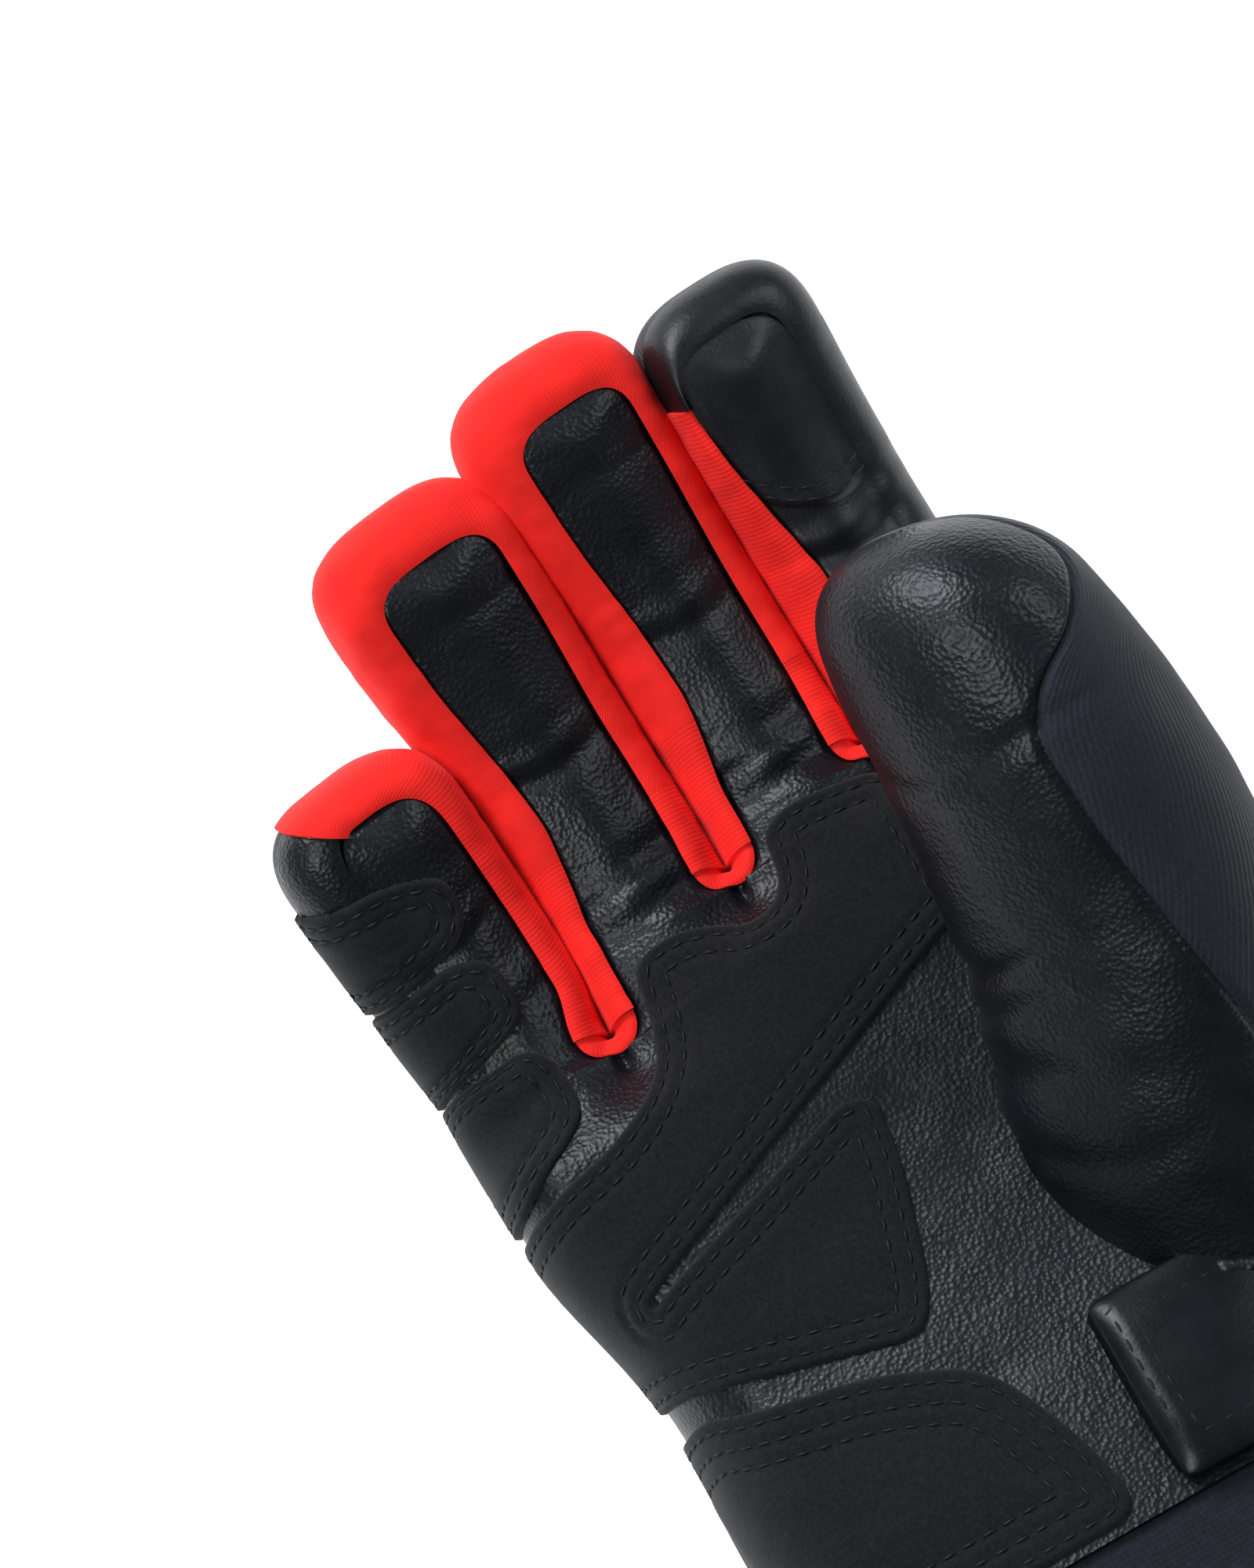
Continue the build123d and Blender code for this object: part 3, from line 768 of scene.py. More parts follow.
# ---- the palm, the slits between the fingers and the back of the hand ----
def strip_rows(start, stop):
    """Rows of a strip: even ones and a fan of rows round the end of every slit."""
    rows = [np.arange(start, stop, 1.1), [stop]]
    for crotch in (other.right_crotch for other in fingers[:3]):
        rows.append(crotch - crotch_reach * np.cos(np.linspace(0, pi / 2, 12)))
        rows.append([crotch - crotch_reach - 0.02])
    rows = np.unique(np.round(np.concatenate(rows), 4))
    rows = rows[(rows >= start) & (rows <= stop)]
    keep = np.concatenate([[True], np.diff(rows) > 0.04])
    keep[-1] = True
    return rows[keep]


def hand_strip(finger, face, start, stop):
    """One finger's strip of the palm or the back, with its folds."""
    s = strip_rows(start, stop)
    q = across_steps(finger, s, face)
    return skin_point(finger, q, s[:, None] + 0 * q, face)


class GLOVE_OT_hand(bpy.types.Operator):
    """Palm leather and back shell of the hand, in one strip for each finger"""
    bl_idname = "glove.hand"
    bl_label = "Hand"

    def execute(self, context):
        for name, face, finish in (("palm_leather", 1, "goatskin"), ("back_shell", -1, "softshell")):
            grids = [(hand_strip(f, face, hand_start, f.bend), face < 0, 0, False) for f in fingers]
            make_piece(f"{name}_skin", grids, [finishes[finish]], "hand", [name], wall(), weld=0.05)
        return {"FINISHED"}


class GLOVE_OT_slits(bpy.types.Operator):
    """Red gussets round the ends of the three slits.

    A gusset is the fingers' side profile turned half a turn about an upright line at the slit's end:
    two quarter ellipses from the palm's edge through the narrow middle to the back's edge."""
    bl_idname = "glove.slits"
    bl_label = "Gussets between the fingers"

    def execute(self, context):
        grids = []
        swing = np.linspace(-0.16, pi + 0.16, 44)[:, None]
        turn = np.linspace(0, pi, 40)[None, :]
        for x, finger in zip(slits, fingers):
            y = finger.right_crotch
            pucker = 1 + 0.5 * np.exp(-((turn - 1.9) / 0.35) ** 2) * np.sin(swing * 6)
            reach = slit_gap / 2 + crotch_inset * (1 - np.sin(swing)) * pucker**0.2
            rise = np.where(np.cos(swing) > 0, panel_rise, panel_drop)
            height = stall_z + np.cos(swing) * rise * np.ones_like(turn)
            height = height + 0.25 * np.sin(turn * 5 + x) * np.sin(turn) * np.cos(swing) ** 2
            grid = np.stack([x + reach * np.cos(turn), y - reach * np.sin(turn), height], -1)
            grids.append((grid, False, 0, False))
        make_piece(
            "crotch_gussets_skin", grids, [finishes["stretch_red"]], "hand",
            ["crotch_gussets"], -0.8,
        )
        return {"FINISHED"}


# ---- the fingers ----
def cap_columns():
    return -np.cos(np.linspace(0, pi, 34))


def panel_grids(finger, face, start, stop, with_tip, finish, lift=0.0):
    """Grids of a front or back panel between two distances, with its rounded end if asked."""
    flip = face < 0
    s = steps(start, stop, 1.0)
    q = across_steps(finger, s, face)
    grid = skin_point(finger, q, s[:, None] + 0 * q, face, lift)
    grids = [(grid, flip, finish, False)]
    if with_tip:
        cap = cap_panel(finger, face, cap_columns(), lift=lift)
        count = cap.shape[1]
        lead = 0 if finger_wall(finger, -1) else 14
        cap[0] = grid[-1][lead:lead + count]
        grids.append((cap, flip, finish, False))
    return grids


def band_pieces(finger, part, split):
    """The band round a finger in two lists of grids: stretch fabric, and leather that turns the side."""
    top = cap_base(finger)
    red, front, back = [], [], []
    full = (-0.16, pi + 0.16)
    if part == "base":
        for side, crotch in ((-1, finger.left_crotch), (1, finger.right_crotch)):
            if finger_wall(finger, side):
                s = steps(crotch, split, 0.9)
                s = s if side < 0 else s[::-1]
                x = np.full(len(s), float(side))
                red.append(band_grid(finger, x, 0 * x, s, *full, count=40))
        return red, front, back
    x, y, s = edge_path(split, split, top, cap_columns())
    straight = (y == 0) & (s < top)
    fabric = np.where(x < 0, is_red(finger, -1), is_red(finger, 1)) * (straight | (s < top))
    fabric = np.where(s < top, fabric, False)
    in_cap = s >= top
    if finger.red[1]:
        limit = pinky_red_end if finger.name == "pinky" else -2.0
        fabric = np.where(in_cap, x > limit, fabric)
    cuts = np.flatnonzero(np.diff(fabric.astype(int))) + 1
    for run in np.split(np.arange(len(x)), cuts):
        reach = np.arange(run[0], min(run[-1] + 2, len(x)))
        if fabric[run[0]]:
            grid = band_grid(finger, x[reach], y[reach], s[reach], *full, count=40)
            if not finger.red[1]:
                _, _, _, out = finger_frame(finger, s[reach])
                grid = grid - out * (1.8 * ease((s[reach] - top + 12) / 12))[:, None]
            red.append(grid)
        else:
            keep = reach[(s[reach] >= top)]
            if len(keep) > 1:
                front.append(band_grid(finger, x[keep], y[keep], s[keep], 0.0, pi / 2, 15))
                back.append(band_grid(finger, x[keep], y[keep], s[keep], pi / 2, pi, 15))
    return red, front, back


def finger_spans(finger):
    """Where the base is split from the tip, and the two stretches over which the joints bend."""
    first = (finger.bend, min(finger.bend + 16, finger.middle - 15))
    middle = pivot(f"{finger.name}_mid_joint")
    angle, turn = radians((base_tilt + tip_tilt) / 2), radians(finger.splay)
    heading = np.array((sin(turn) * cos(angle), cos(turn) * cos(angle), sin(angle)))
    split = (first[1] + finger.middle - 13.5) / 2
    base = ("hand", f"{finger.name}_base", (0, first[0], 0), (0, first[1], 0))
    tip = (f"{finger.name}_base", f"{finger.name}_tip", middle - heading * 11, middle + heading * 11)
    return split, base, tip


class GLOVE_OT_fingers(bpy.types.Operator):
    """Front panels, backs and red sides of the four fingers, each split between its two joints"""
    bl_idname = "glove.fingers"
    bl_label = "Fingers"

    def execute(self, context):
        for finger in fingers:
            split, base, tip = finger_spans(finger)
            top = cap_base(finger)
            for part, start, stop, body in (("base", finger.bend, split, base), ("tip", split, top, tip)):
                red, front, back = band_pieces(finger, part, split)
                ending = part == "tip"
                leather = "smooth_leather" if ending and finger.name == "index" else "goatskin"
                names = {k: f"{finger.name}_{k}_{part}" for k in ("front", "back", "fourchette")}
                grids = panel_grids(finger, 1, start, stop, ending, 0)
                grids += [(g, False, 0, False) for g in front]
                make_piece(
                    names["front"] + "_skin", grids, [finishes[leather]], body,
                    [names["front"]], wall(), weld=0.05,
                )
                grids = panel_grids(finger, -1, start, stop, ending, 0)
                grids += [(g, False, 0, False) for g in back]
                make_piece(
                    names["back"] + "_skin", grids, [finishes["softshell"]], body,
                    [names["back"]], wall(), weld=0.05,
                )
                grids = [(wrinkled(g, 0.22, 6.0, 31), False, 0, False) for g in red]
                make_piece(
                    names["fourchette"] + "_skin", grids, [finishes["stretch_red"]], body,
                    [names["fourchette"]], -0.8, weld=0.05,
                )
        return {"FINISHED"}


# ---- tubes: the thumb and the linings ----
def tube_frame(stations, s, across_axis):
    """Centre, across, along and out directions of a tube whose centre line runs through stations."""
    centre = np.stack([through(s, stations, k) for k in (1, 2, 3)], -1)
    ahead = np.stack([through(s + 0.5, stations, k) for k in (1, 2, 3)], -1)
    behind = np.stack([through(s - 0.5, stations, k) for k in (1, 2, 3)], -1)
    along = ahead - behind
    along = along / np.linalg.norm(along, axis=-1, keepdims=True)
    across = across_axis - along * (along @ across_axis)[..., None]
    across = across / np.linalg.norm(across, axis=-1, keepdims=True)
    return centre, across, along, np.cross(across, along)


def tube_grid(stations, across_axis, s, angle, length, end, shear=0.0, shrink=0.0, power=2.25):
    """Surface of a tube with a rounded end.

    At a distance s and an angle from the palmar side, the point is the centre + half width times the
    sine across + half height times the cosine outwards, both raised to make a superellipse. Past
    length less end the section shrinks as a superellipse of the way to the end, sheared across.
    """
    s, angle = np.broadcast_arrays(s, angle)
    base = length - end
    way = np.clip((s - base) / end, 0, 1)
    share = (1 - way**2.5) ** (1 / 2.5)
    at = np.minimum(s, length)
    centre, across, along, out = tube_frame(stations, at, across_axis)
    half_across = (through(at, stations, 4) - shrink) * share
    half_out = (through(at, stations, 5) - shrink) * share
    sine, cosine = np.sin(angle), np.cos(angle)
    a = np.sign(sine) * np.abs(sine) ** (2 / power) * half_across
    h = np.sign(cosine) * np.abs(cosine) ** (2 / power) * half_out
    lean = shear * ease((s - base + 18) / 18) * (a / 20.0)
    return centre + across * a[..., None] + out * h[..., None] + along * lean[..., None]


# distance along, x, y, z, half width, half thickness
thumb_line = np.array([
    (0.0, 31.0, -62.0, 31.0, 21.0, 15.0),
    (28.0, 38.0, -37.0, 44.0, 25.0, 19.0),
    (63.0, 47.0, -7.0, 61.0, 26.0, 20.5),
    (93.0, 47.0, 19.0, 77.0, 23.5, 19.0),
    (128.0, 44.5, 52.0, 88.0, 19.5, 16.5),
])
thumb_across = np.array(joints["thumb_knuckle"]["axis"])
thumb_length, thumb_end, thumb_shear = 127.0, 20.0, -5.0
thumb_split = 78.0      # between the thumb's base and its tip
inner_seam = -1.35      # angle of the leather's edge towards the palm


def thumb_spans():
    """The bodies of the thumb's base and tip, and the stretches over which its two joints bend."""
    knuckle, middle = pivot("thumb_knuckle"), pivot("thumb_mid_joint")
    _, _, along, _ = tube_frame(thumb_line, np.array([63.0, 93.0]), thumb_across)
    base = ("hand", "thumb_base", knuckle - along[0] * 12, knuckle + along[0] * 9)
    tip = ("thumb_base", "thumb_tip", middle - along[1] * 9, middle + along[1] * 10)
    return base, tip


# distance along, depth, width, angle
thumb_creases = (
    (93, 0.9, 1.5, 0.1), (58, 1.4, 3.0, -0.9), (49, 1.0, 3.2, -0.7), (38, 1.2, 3.4, -0.6), (27, 1.0, 2.6, -0.4),
)


def thumb_seam(s):
    """Angle of the seam between the leather and the softshell: wide at the tip, in at the middle."""
    knots = np.array([
        (0, 2.15), (20, 1.9), (42, 1.3), (62, 0.74), (84, 0.5), (95, 0.56), (102, 0.85), (108, 1.35),
        (114, 1.72), (127, 1.9),
    ])
    return through(s, knots, 1)


def thumb_grid(s, low, high, columns):
    """Part of the thumb's skin between two seams, given as angles at each distance, creased at both."""
    share = 0.5 - 0.5 * np.cos(np.linspace(0, pi, columns))
    low, high = np.broadcast_to(low, s.shape), np.broadcast_to(high, s.shape)
    angle = low[:, None] + (high - low)[:, None] * share[None, :]
    grid = tube_grid(thumb_line, thumb_across, s[:, None], angle, thumb_length, thumb_end, thumb_shear)
    body = 1 - ease((s - thumb_length + 6) / 6)[:, None]
    inset = np.minimum(share, 1 - share)[None, :] * (high - low)[:, None] * 20.0
    dip = 0.8 * np.exp(-(inset**2)) * body
    folds = np.zeros_like(angle)
    for number, (at, deep, wide, turn) in enumerate(thumb_creases):
        bow = at + 3.5 * (angle - turn) ** 2 + 1.6 * np.sin(angle * 3.1 + number)
        folds += deep * np.exp(-(((s[:, None] - bow) / wide) ** 2)) * np.exp(-(((angle - turn) / 0.8) ** 2))
    rough = noise(grid * np.array((0.9, 1.3, 0.9)), 13.0, 41) * 0.9 + 0.4 * noise(grid, 5.0, 42)
    move = -dip - folds * body + ripple() * rough * body
    way = grid - tube_grid(thumb_line, thumb_across, s[:, None], angle, thumb_length, thumb_end, thumb_shear, 1.0)
    way = way / (np.linalg.norm(way, axis=-1, keepdims=True) + 1e-9)
    return grid + way * move[..., None]


def thumb_welt():
    """Gathered piping over the thumb's root: a round section carried along a line across the tube.

    Its radius swells and shrinks with two sines of different pitch, and narrows at both ends."""
    way = np.linspace(0, 1, 200)
    angle = -1.25 + 2.9 * way
    s = 10.5 - 4.0 * way + 0.5 * np.sin(way * 21)
    middle = tube_grid(thumb_line, thumb_across, s, angle, thumb_length, thumb_end)
    inner = tube_grid(thumb_line, thumb_across, s, angle, thumb_length, thumb_end, 0.0, 1.0)
    out = (middle - inner) / np.linalg.norm(middle - inner, axis=1, keepdims=True)
    along = np.gradient(middle, axis=0)
    along = along / np.linalg.norm(along, axis=1, keepdims=True)
    aside = np.cross(out, along)
    radius = (1.7 + 0.16 * np.sin(way * 90) + 0.12 * np.sin(way * 41)) * np.sqrt(1 - (2 * way - 1) ** 8)
    spin = np.linspace(0, 2 * pi, 16, endpoint=False)[None, :, None]
    ring = out[:, None] * np.cos(spin) + aside[:, None] * np.sin(spin)
    grid = (middle + out * 0.3)[:, None] + ring * radius[:, None, None]
    rails = []
    for lean in (-1, 1):
        line = middle + aside * lean * 3.3
        rails.append((line, out))
    return grid, rails


class GLOVE_OT_thumb(bpy.types.Operator):
    """The thumb's leather front and softshell back, from its root in the palm to its tip"""
    bl_idname = "glove.thumb"
    bl_label = "Thumb"

    def execute(self, context):
        base, tip = thumb_spans()
        finer = thumb_length - thumb_end * (1 - np.sin(np.linspace(0, pi / 2, 26)))
        spans = (
            ("base", steps(0, thumb_split, 1.1), base),
            ("tip", np.concatenate([steps(thumb_split, thumb_length - thumb_end, 1.1)[:-1], finer]), tip),
        )
        for part, s, body in spans:
            stands = [f"thumb_front_{part}"] + (["thumb_root"] if part == "base" else [])
            seam = thumb_seam(s)
            make_piece(
                f"thumb_front_{part}_skin", [(thumb_grid(s, inner_seam, seam, 90), False, 0, False)],
                [finishes["goatskin"]], body, stands, wall(),
            )
            make_piece(
                f"thumb_back_{part}_skin",
                [(thumb_grid(s, seam, 2 * pi + inner_seam, 90), False, 0, False)],
                [finishes["softshell"]], body, [f"thumb_back_{part}"], wall(),
            )
        welt, rails = thumb_welt()
        make_piece("thumb_welt_leather", [(welt, True, 0, True)], [finishes["goatskin"]], "hand")
        sew("thumb_welt", rails, "hand")
        return {"FINISHED"}


# ---- suede patches ----
def rounded(corners, radius):
    """Closed outline with every corner rounded by a curve that starts a radius away, and even steps."""
    corners = np.array(corners, float)
    before, after = np.roll(corners, 1, axis=0), np.roll(corners, -1, axis=0)
    to_before, to_after = before - corners, after - corners
    far_before = np.linalg.norm(to_before, axis=1, keepdims=True)
    far_after = np.linalg.norm(to_after, axis=1, keepdims=True)
    cut = np.minimum(radius, np.minimum(far_before, far_after) * 0.48)
    start, stop = corners + to_before / far_before * cut, corners + to_after / far_after * cut
    t = np.linspace(0, 1, 9)[None, :, None]
    bend = start[:, None] * (1 - t) ** 2 + 2 * t * (1 - t) * corners[:, None] + stop[:, None] * t * t
    path = bend.reshape(-1, 2)
    path = np.concatenate([path, path[:1]])
    step = np.linalg.norm(np.diff(path, axis=0), axis=1)
    walk = np.concatenate([[0], np.cumsum(step)])
    even = np.linspace(0, walk[-1], max(24, int(walk[-1] / 1.0)), endpoint=False)
    return np.stack([np.interp(even, walk, path[:, k]) for k in (0, 1)], -1)


def edge_distance(points, outline):
    """Distance of points inside an outline (negative outside), and the nearest point of the outline."""
    start, stop = outline, np.roll(outline, -1, axis=0)
    run = stop - start
    offset = points[:, None] - start[None]
    t = np.clip((offset * run[None]).sum(-1) / ((run**2).sum(-1)[None] + 1e-12), 0, 1)
    near = start[None] + run[None] * t[..., None]
    gap = np.linalg.norm(points[:, None] - near, axis=-1)
    best = gap.argmin(axis=1)
    crosses = (start[None, :, 1] > points[:, None, 1]) != (stop[None, :, 1] > points[:, None, 1])
    at = start[None, :, 0] + (points[:, None, 1] - start[None, :, 1]) * run[None, :, 0] / (run[None, :, 1] + 1e-12)
    inside = (crosses & (points[:, None, 0] < at)).sum(axis=1) % 2 == 1
    index = np.arange(len(points))
    return np.where(inside, 1, -1) * gap[index, best], near[index, best]


def patch_mesh(outline, place, thickness, rows, cell=0.75, bulge=0.0):
    """Points and quads of a patch: a grid cut to the outline, its outer points moved onto it.

    The patch rises from its edge as a quarter circle to its thickness, swells a little towards its
    middle and dips along each row of stitches.
    """
    low, high = outline.min(axis=0) - cell, outline.max(axis=0) + cell
    u, v = np.meshgrid(np.arange(low[0], high[0], cell), np.arange(low[1], high[1], cell), indexing="xy")
    flat = np.stack([u.ravel(), v.ravel()], -1)
    distance, nearest = edge_distance(flat, outline)
    quads = grid_faces(*u.shape, 0, False, False)
    quads = quads[(distance[quads] > 0.12).any(axis=1)]
    spot = np.where((distance < 0)[:, None], nearest, flat)
    inside = np.clip(distance, 0, None)
    rise = np.clip(inside / 1.1, 0, 1)
    lift = 0.08 + thickness * np.sqrt(1 - (1 - rise) ** 2) + bulge * ease((inside - rows[-1] - 0.5) / 7)
    for row in rows:
        lift = lift - 0.45 * np.exp(-(((inside - row) / 0.7) ** 2)) * thickness
    used, compact = np.unique(quads, return_inverse=True)
    points = place(spot[used, 0], spot[used, 1], lift[used])
    return points, compact.reshape(quads.shape), spot[used]


def stitch_mesh(lines, pitch, thread):
    """Short threads along lines of (point, normal): ellipsoids sunk at both ends, all at once."""
    points, quads, first = [], [], 0
    around, along = 6, 5
    for line, normal in lines:
        step = np.linalg.norm(np.diff(line, axis=0), axis=1)
        walk = np.concatenate([[0], np.cumsum(step)])
        if walk[-1] < pitch * 2:
            continue
        at = np.arange(pitch * 0.5, walk[-1] - pitch * 0.3, pitch)
        centre = np.stack([np.interp(at, walk, line[:, k]) for k in range(3)], -1)
        ahead = np.stack([np.interp(at + 0.6, walk, line[:, k]) for k in range(3)], -1)
        back = np.stack([np.interp(at - 0.6, walk, line[:, k]) for k in range(3)], -1)
        up = np.stack([np.interp(at, walk, normal[:, k]) for k in range(3)], -1)
        up = up / np.linalg.norm(up, axis=1, keepdims=True)
        head = ahead - back
        head = head / (np.linalg.norm(head, axis=1, keepdims=True) + 1e-9)
        aside = np.cross(head, up)
        turn = np.linspace(0, pi, along)[None, :, None]
        spin = np.linspace(0, 2 * pi, around, endpoint=False)[None, None, :]
        ahead_by = -np.cos(turn) * pitch * 0.34 * np.ones_like(spin)
        thick = np.sin(turn) * thread / 2 + 0.02
        rise = thick * np.cos(spin) - 0.35 * thread * np.cos(turn) ** 2 + thread * 0.1
        wide = thick * np.sin(spin)
        spots = (
            centre[:, None, None] + head[:, None, None] * ahead_by[..., None]
            + up[:, None, None] * rise[..., None] + aside[:, None, None] * wide[..., None]
        )
        block = spots.reshape(len(at), -1, 3)
        faces = grid_faces(along, around, 0, False, True)
        offsets = first + np.arange(len(at))[:, None, None] * along * around
        points.append(block.reshape(-1, 3))
        quads.append((faces[None] + offsets).reshape(-1, 4))
        first += len(at) * along * around
    return np.concatenate(points), np.concatenate(quads)


def sew(name, lines, body):
    """Stitches along lines of (point, normal), as one piece of thread."""
    sizes = bpy.context.scene.glove_sizes
    points, quads = stitch_mesh(lines, sizes.stitch_pitch / MM, sizes.thread_width / MM)
    finish_mesh(
        f"{name}_stitches", points, quads, np.zeros(len(quads)), points[:, :2], [finishes["thread"]], body,
        weld=0,
    )


def stitch_lines(outline, place, rows, lift):
    """Lines of stitches inside an outline, one for each row's distance from the edge."""
    lines = []
    for row in rows:
        run = np.roll(outline, -1, axis=0) - np.roll(outline, 1, axis=0)
        run = run / (np.linalg.norm(run, axis=1, keepdims=True) + 1e-9)
        inward = np.stack([-run[:, 1], run[:, 0]], -1)
        area = (outline[:, 0] * np.roll(outline[:, 1], -1) - np.roll(outline[:, 0], -1) * outline[:, 1]).sum()
        moved = outline + inward * row * np.sign(area)
        distance, _ = edge_distance(moved, outline)
        good = distance > row * 0.93
        start = int(np.argmin(good)) if not good.all() else 0
        order = np.roll(np.arange(len(moved)), -start)
        if good.all():
            order = np.append(order, order[0])
        runs = np.split(order, np.flatnonzero(np.diff(good[order].astype(int))) + 1)
        for piece in runs:
            if len(piece) > 4 and good[piece[0]]:
                spot = moved[piece]
                at = place(spot[:, 0], spot[:, 1], np.full(len(spot), lift))
                out = place(spot[:, 0], spot[:, 1], np.full(len(spot), lift + 1.0)) - at
                lines.append((at, out))
    return lines


def strip_of(x):
    """Number of the finger whose strip of the hand holds x."""
    return np.searchsorted(slits, x)


def palm_place(x, y, lift, face=1):
    """Point of the hand's leather at x across (length round the side past the flat part) and y along."""
    x, y, lift = np.broadcast_arrays(x, y, lift)
    result = np.zeros(x.shape + (3,))
    which = strip_of(x)
    for number, finger in enumerate(fingers):
        mine = which == number
        if mine.any():
            result[mine] = skin_point(finger, x[mine] - finger.centre, y[mine], face, lift[mine])
    return result


def finger_place(finger):
    def place(a, s, lift):
        return skin_point(finger, a, s, 1, lift)
    return place


palm_patch_outline = [
    (-72, -36), (-72, -3.5), (-57, -2.8), (-46, -0.6), (-38.9, 1.0), (-31, 4.8), (-25.2, 11), (-23.2, 19),
    (-22, 27), (-14, 28), (-6.5, 25.6), (-3, 23), (2.5, 23.2), (5.8, 27), (7, 35.5), (12, 37.3), (30, 35.5),
    (30, 7.5), (18, 2.8), (-46, -23.6), (-46.4, -24.9), (-3.3, -10.6), (1.2, -13), (-0.4, -24.3),
    (-6.2, -43), (-10.5, -49.5), (-49, -39),
]
heel_patch_outline = [
    (-74, -43), (-49, -43), (-41.5, -46), (-21, -50.5), (-5, -58), (2, -75), (4.7, -88.5), (-70, -88.5),
]
palm_lobe_outline = [(-72, -1.6), (-57, -0.8), (-46, 4.4), (-39.4, 9), (-39.6, 19), (-43.5, 24.6), (-72, 24.6)]
pinky_lobes = {
    "pinky_patch_base": [(-28, 25.2), (-13, 25.3), (-3, 28), (5.0, 31.5), (3.4, 43.5), (-1.5, 46.8), (-28, 45.5)],
    "pinky_patch_tip": [(-28, 46.3), (-12, 46.4), (0.5, 48.8), (5.0, 53), (5.8, 61), (-3, 65.5), (-28, 68.5)],
}


def add_patch(name, outline, place, body, rows, finish="suede", bulge=0.0, radius=4.0):
    """A suede patch and its stitches."""
    path = rounded(outline, radius)
    thickness = bpy.context.scene.glove_sizes.patch_wall / MM
    points, quads, flat = patch_mesh(path, place, thickness, rows, bulge=bulge)
    finish_mesh(
        f"{name}_suede", points, quads, np.zeros(len(quads)), flat, [finishes[finish]], body, [name],
        weld=0.01,
    )
    lines = stitch_lines(path, place, rows, thickness * 0.82)
    sew(name, lines, body)


def index_hem(across):
    """Distance along the index finger of its patch's lower hem: a parabola, lowest near the middle."""
    return 83.0 + 5.5 * ((across - 1) / 11) ** 2


class GLOVE_OT_patches(bpy.types.Operator):
    """Suede on the palm, the heel, the little finger and the index fingertip, with its rows of stitches"""
    bl_idname = "glove.patches"
    bl_label = "Suede patches"

    def execute(self, context):
        pinky, index = fingers[0], fingers[3]
        add_patch("palm_patch", palm_patch_outline, palm_place, "hand", (2.0, 4.9), radius=4.5)
        add_patch("heel_patch", heel_patch_outline, palm_place, "hand", (2.0, 5.2, 8.4), bulge=0.8, radius=7)
        add_patch("pinky_patch_palm", palm_lobe_outline, palm_place, "hand", (2.0, 4.6), radius=5)
        _, base, tip = finger_spans(pinky)
        for name, body in (("pinky_patch_base", base), ("pinky_patch_tip", tip)):
            add_patch(name, pinky_lobes[name], finger_place(pinky), body, (2.0, 4.6), radius=5.5)
        self.fingertip(index)
        return {"FINISHED"}

    def fingertip(self, finger):
        """Smooth leather over the front of the index fingertip: the panel's own grid, raised."""
        _, _, tip = finger_spans(finger)
        top = cap_base(finger)
        share = np.linspace(0, 1, 40)[:, None]
        low, high = flat_edge(finger, -1, np.array([95.0]))[0], flat_edge(finger, 1, np.array([95.0]))[0]
        columns = low + (high - low) * (0.5 + 0.5 * cap_columns())
        hem = index_hem(columns)
        s = hem[None, :] + (top - hem[None, :]) * share
        q = columns[None, :] + 0 * s
        edge = np.minimum(ease((s - hem[None, :]) / 1.3), 1)
        inward = np.minimum(columns - columns[0], columns[-1] - columns)[None, :]
        fade = ease(inward / 6) * (1 - ease((s - hem[None, :]) / 22))
        grid = skin_point(finger, q, s, 1, 0.14 + 0.75 * edge * fade)
        cap = cap_panel(finger, 1, cap_columns(), lift=0.14)
        cap[0] = grid[-1]
        make_piece(
            "index_patch_leather", [(grid, False, 0, False), (cap, False, 0, False)],
            [finishes["smooth_leather"]], tip, ["index_patch"], 0.12, weld=0.05,
        )
        lines = []
        for row in (1.8, 4.4):
            inner = columns[2:-2]
            s = index_hem(inner) + row
            at = skin_point(finger, inner, s, 1, 0.85)
            lines.append((at, skin_point(finger, inner, s, 1, 1.85) - at))
        sew("index_patch", lines, tip)


# ---- the padded knuckle guard on the back ----
knuckle_pad_outline = [(-46, -26), (-43, 6), (-2, 15), (42, 19), (45, -16), (0, -27)]


class GLOVE_OT_knuckle_pad(bpy.types.Operator):
    """Padded leather over the knuckles, quilted by channels along the fingers' lines"""
    bl_idname = "glove.knuckle_pad"
    bl_label = "Knuckle pad"

    def execute(self, context):
        path = rounded(knuckle_pad_outline, 9)
        low, high = path.min(axis=0) - 1, path.max(axis=0) + 1
        u, v = np.meshgrid(np.arange(low[0], high[0], 1.0), np.arange(low[1], high[1], 1.0), indexing="xy")
        flat = np.stack([u.ravel(), v.ravel()], -1)
        distance, nearest = edge_distance(flat, path)
        quads = grid_faces(*u.shape, 0, True, False)
        quads = quads[(distance[quads] > 0.15).any(axis=1)]
        spot = np.where((distance < 0)[:, None], nearest, flat)
        inside = np.clip(distance, 0, None)
        depth = 4.9 * np.sqrt(1 - (1 - np.clip(inside / 7.0, 0, 1)) ** 2)
        for x in slits:
            depth = depth - 2.2 * np.exp(-(((spot[:, 0] - x - 2) / 1.5) ** 2)) * ease((inside - 5) / 4)
        depth = depth - 0.8 * np.exp(-(((inside - 3.0) / 0.8) ** 2))
        used, compact = np.unique(quads, return_inverse=True)
        shell_z = palm_place(spot[used, 0], spot[used, 1], 0.0, -1)[:, 2]
        points = np.stack([spot[used, 0], spot[used, 1], np.maximum(shell_z + 0.3 - depth[used], 0.02)], -1)
        piece = finish_mesh(
            "knuckle_pad_leather", points, compact.reshape(quads.shape), np.zeros(len(quads)), spot[used],
            [finishes["goatskin"]], "hand", ["knuckle_pad"], wall=0.8,
        )
        return {"FINISHED"}


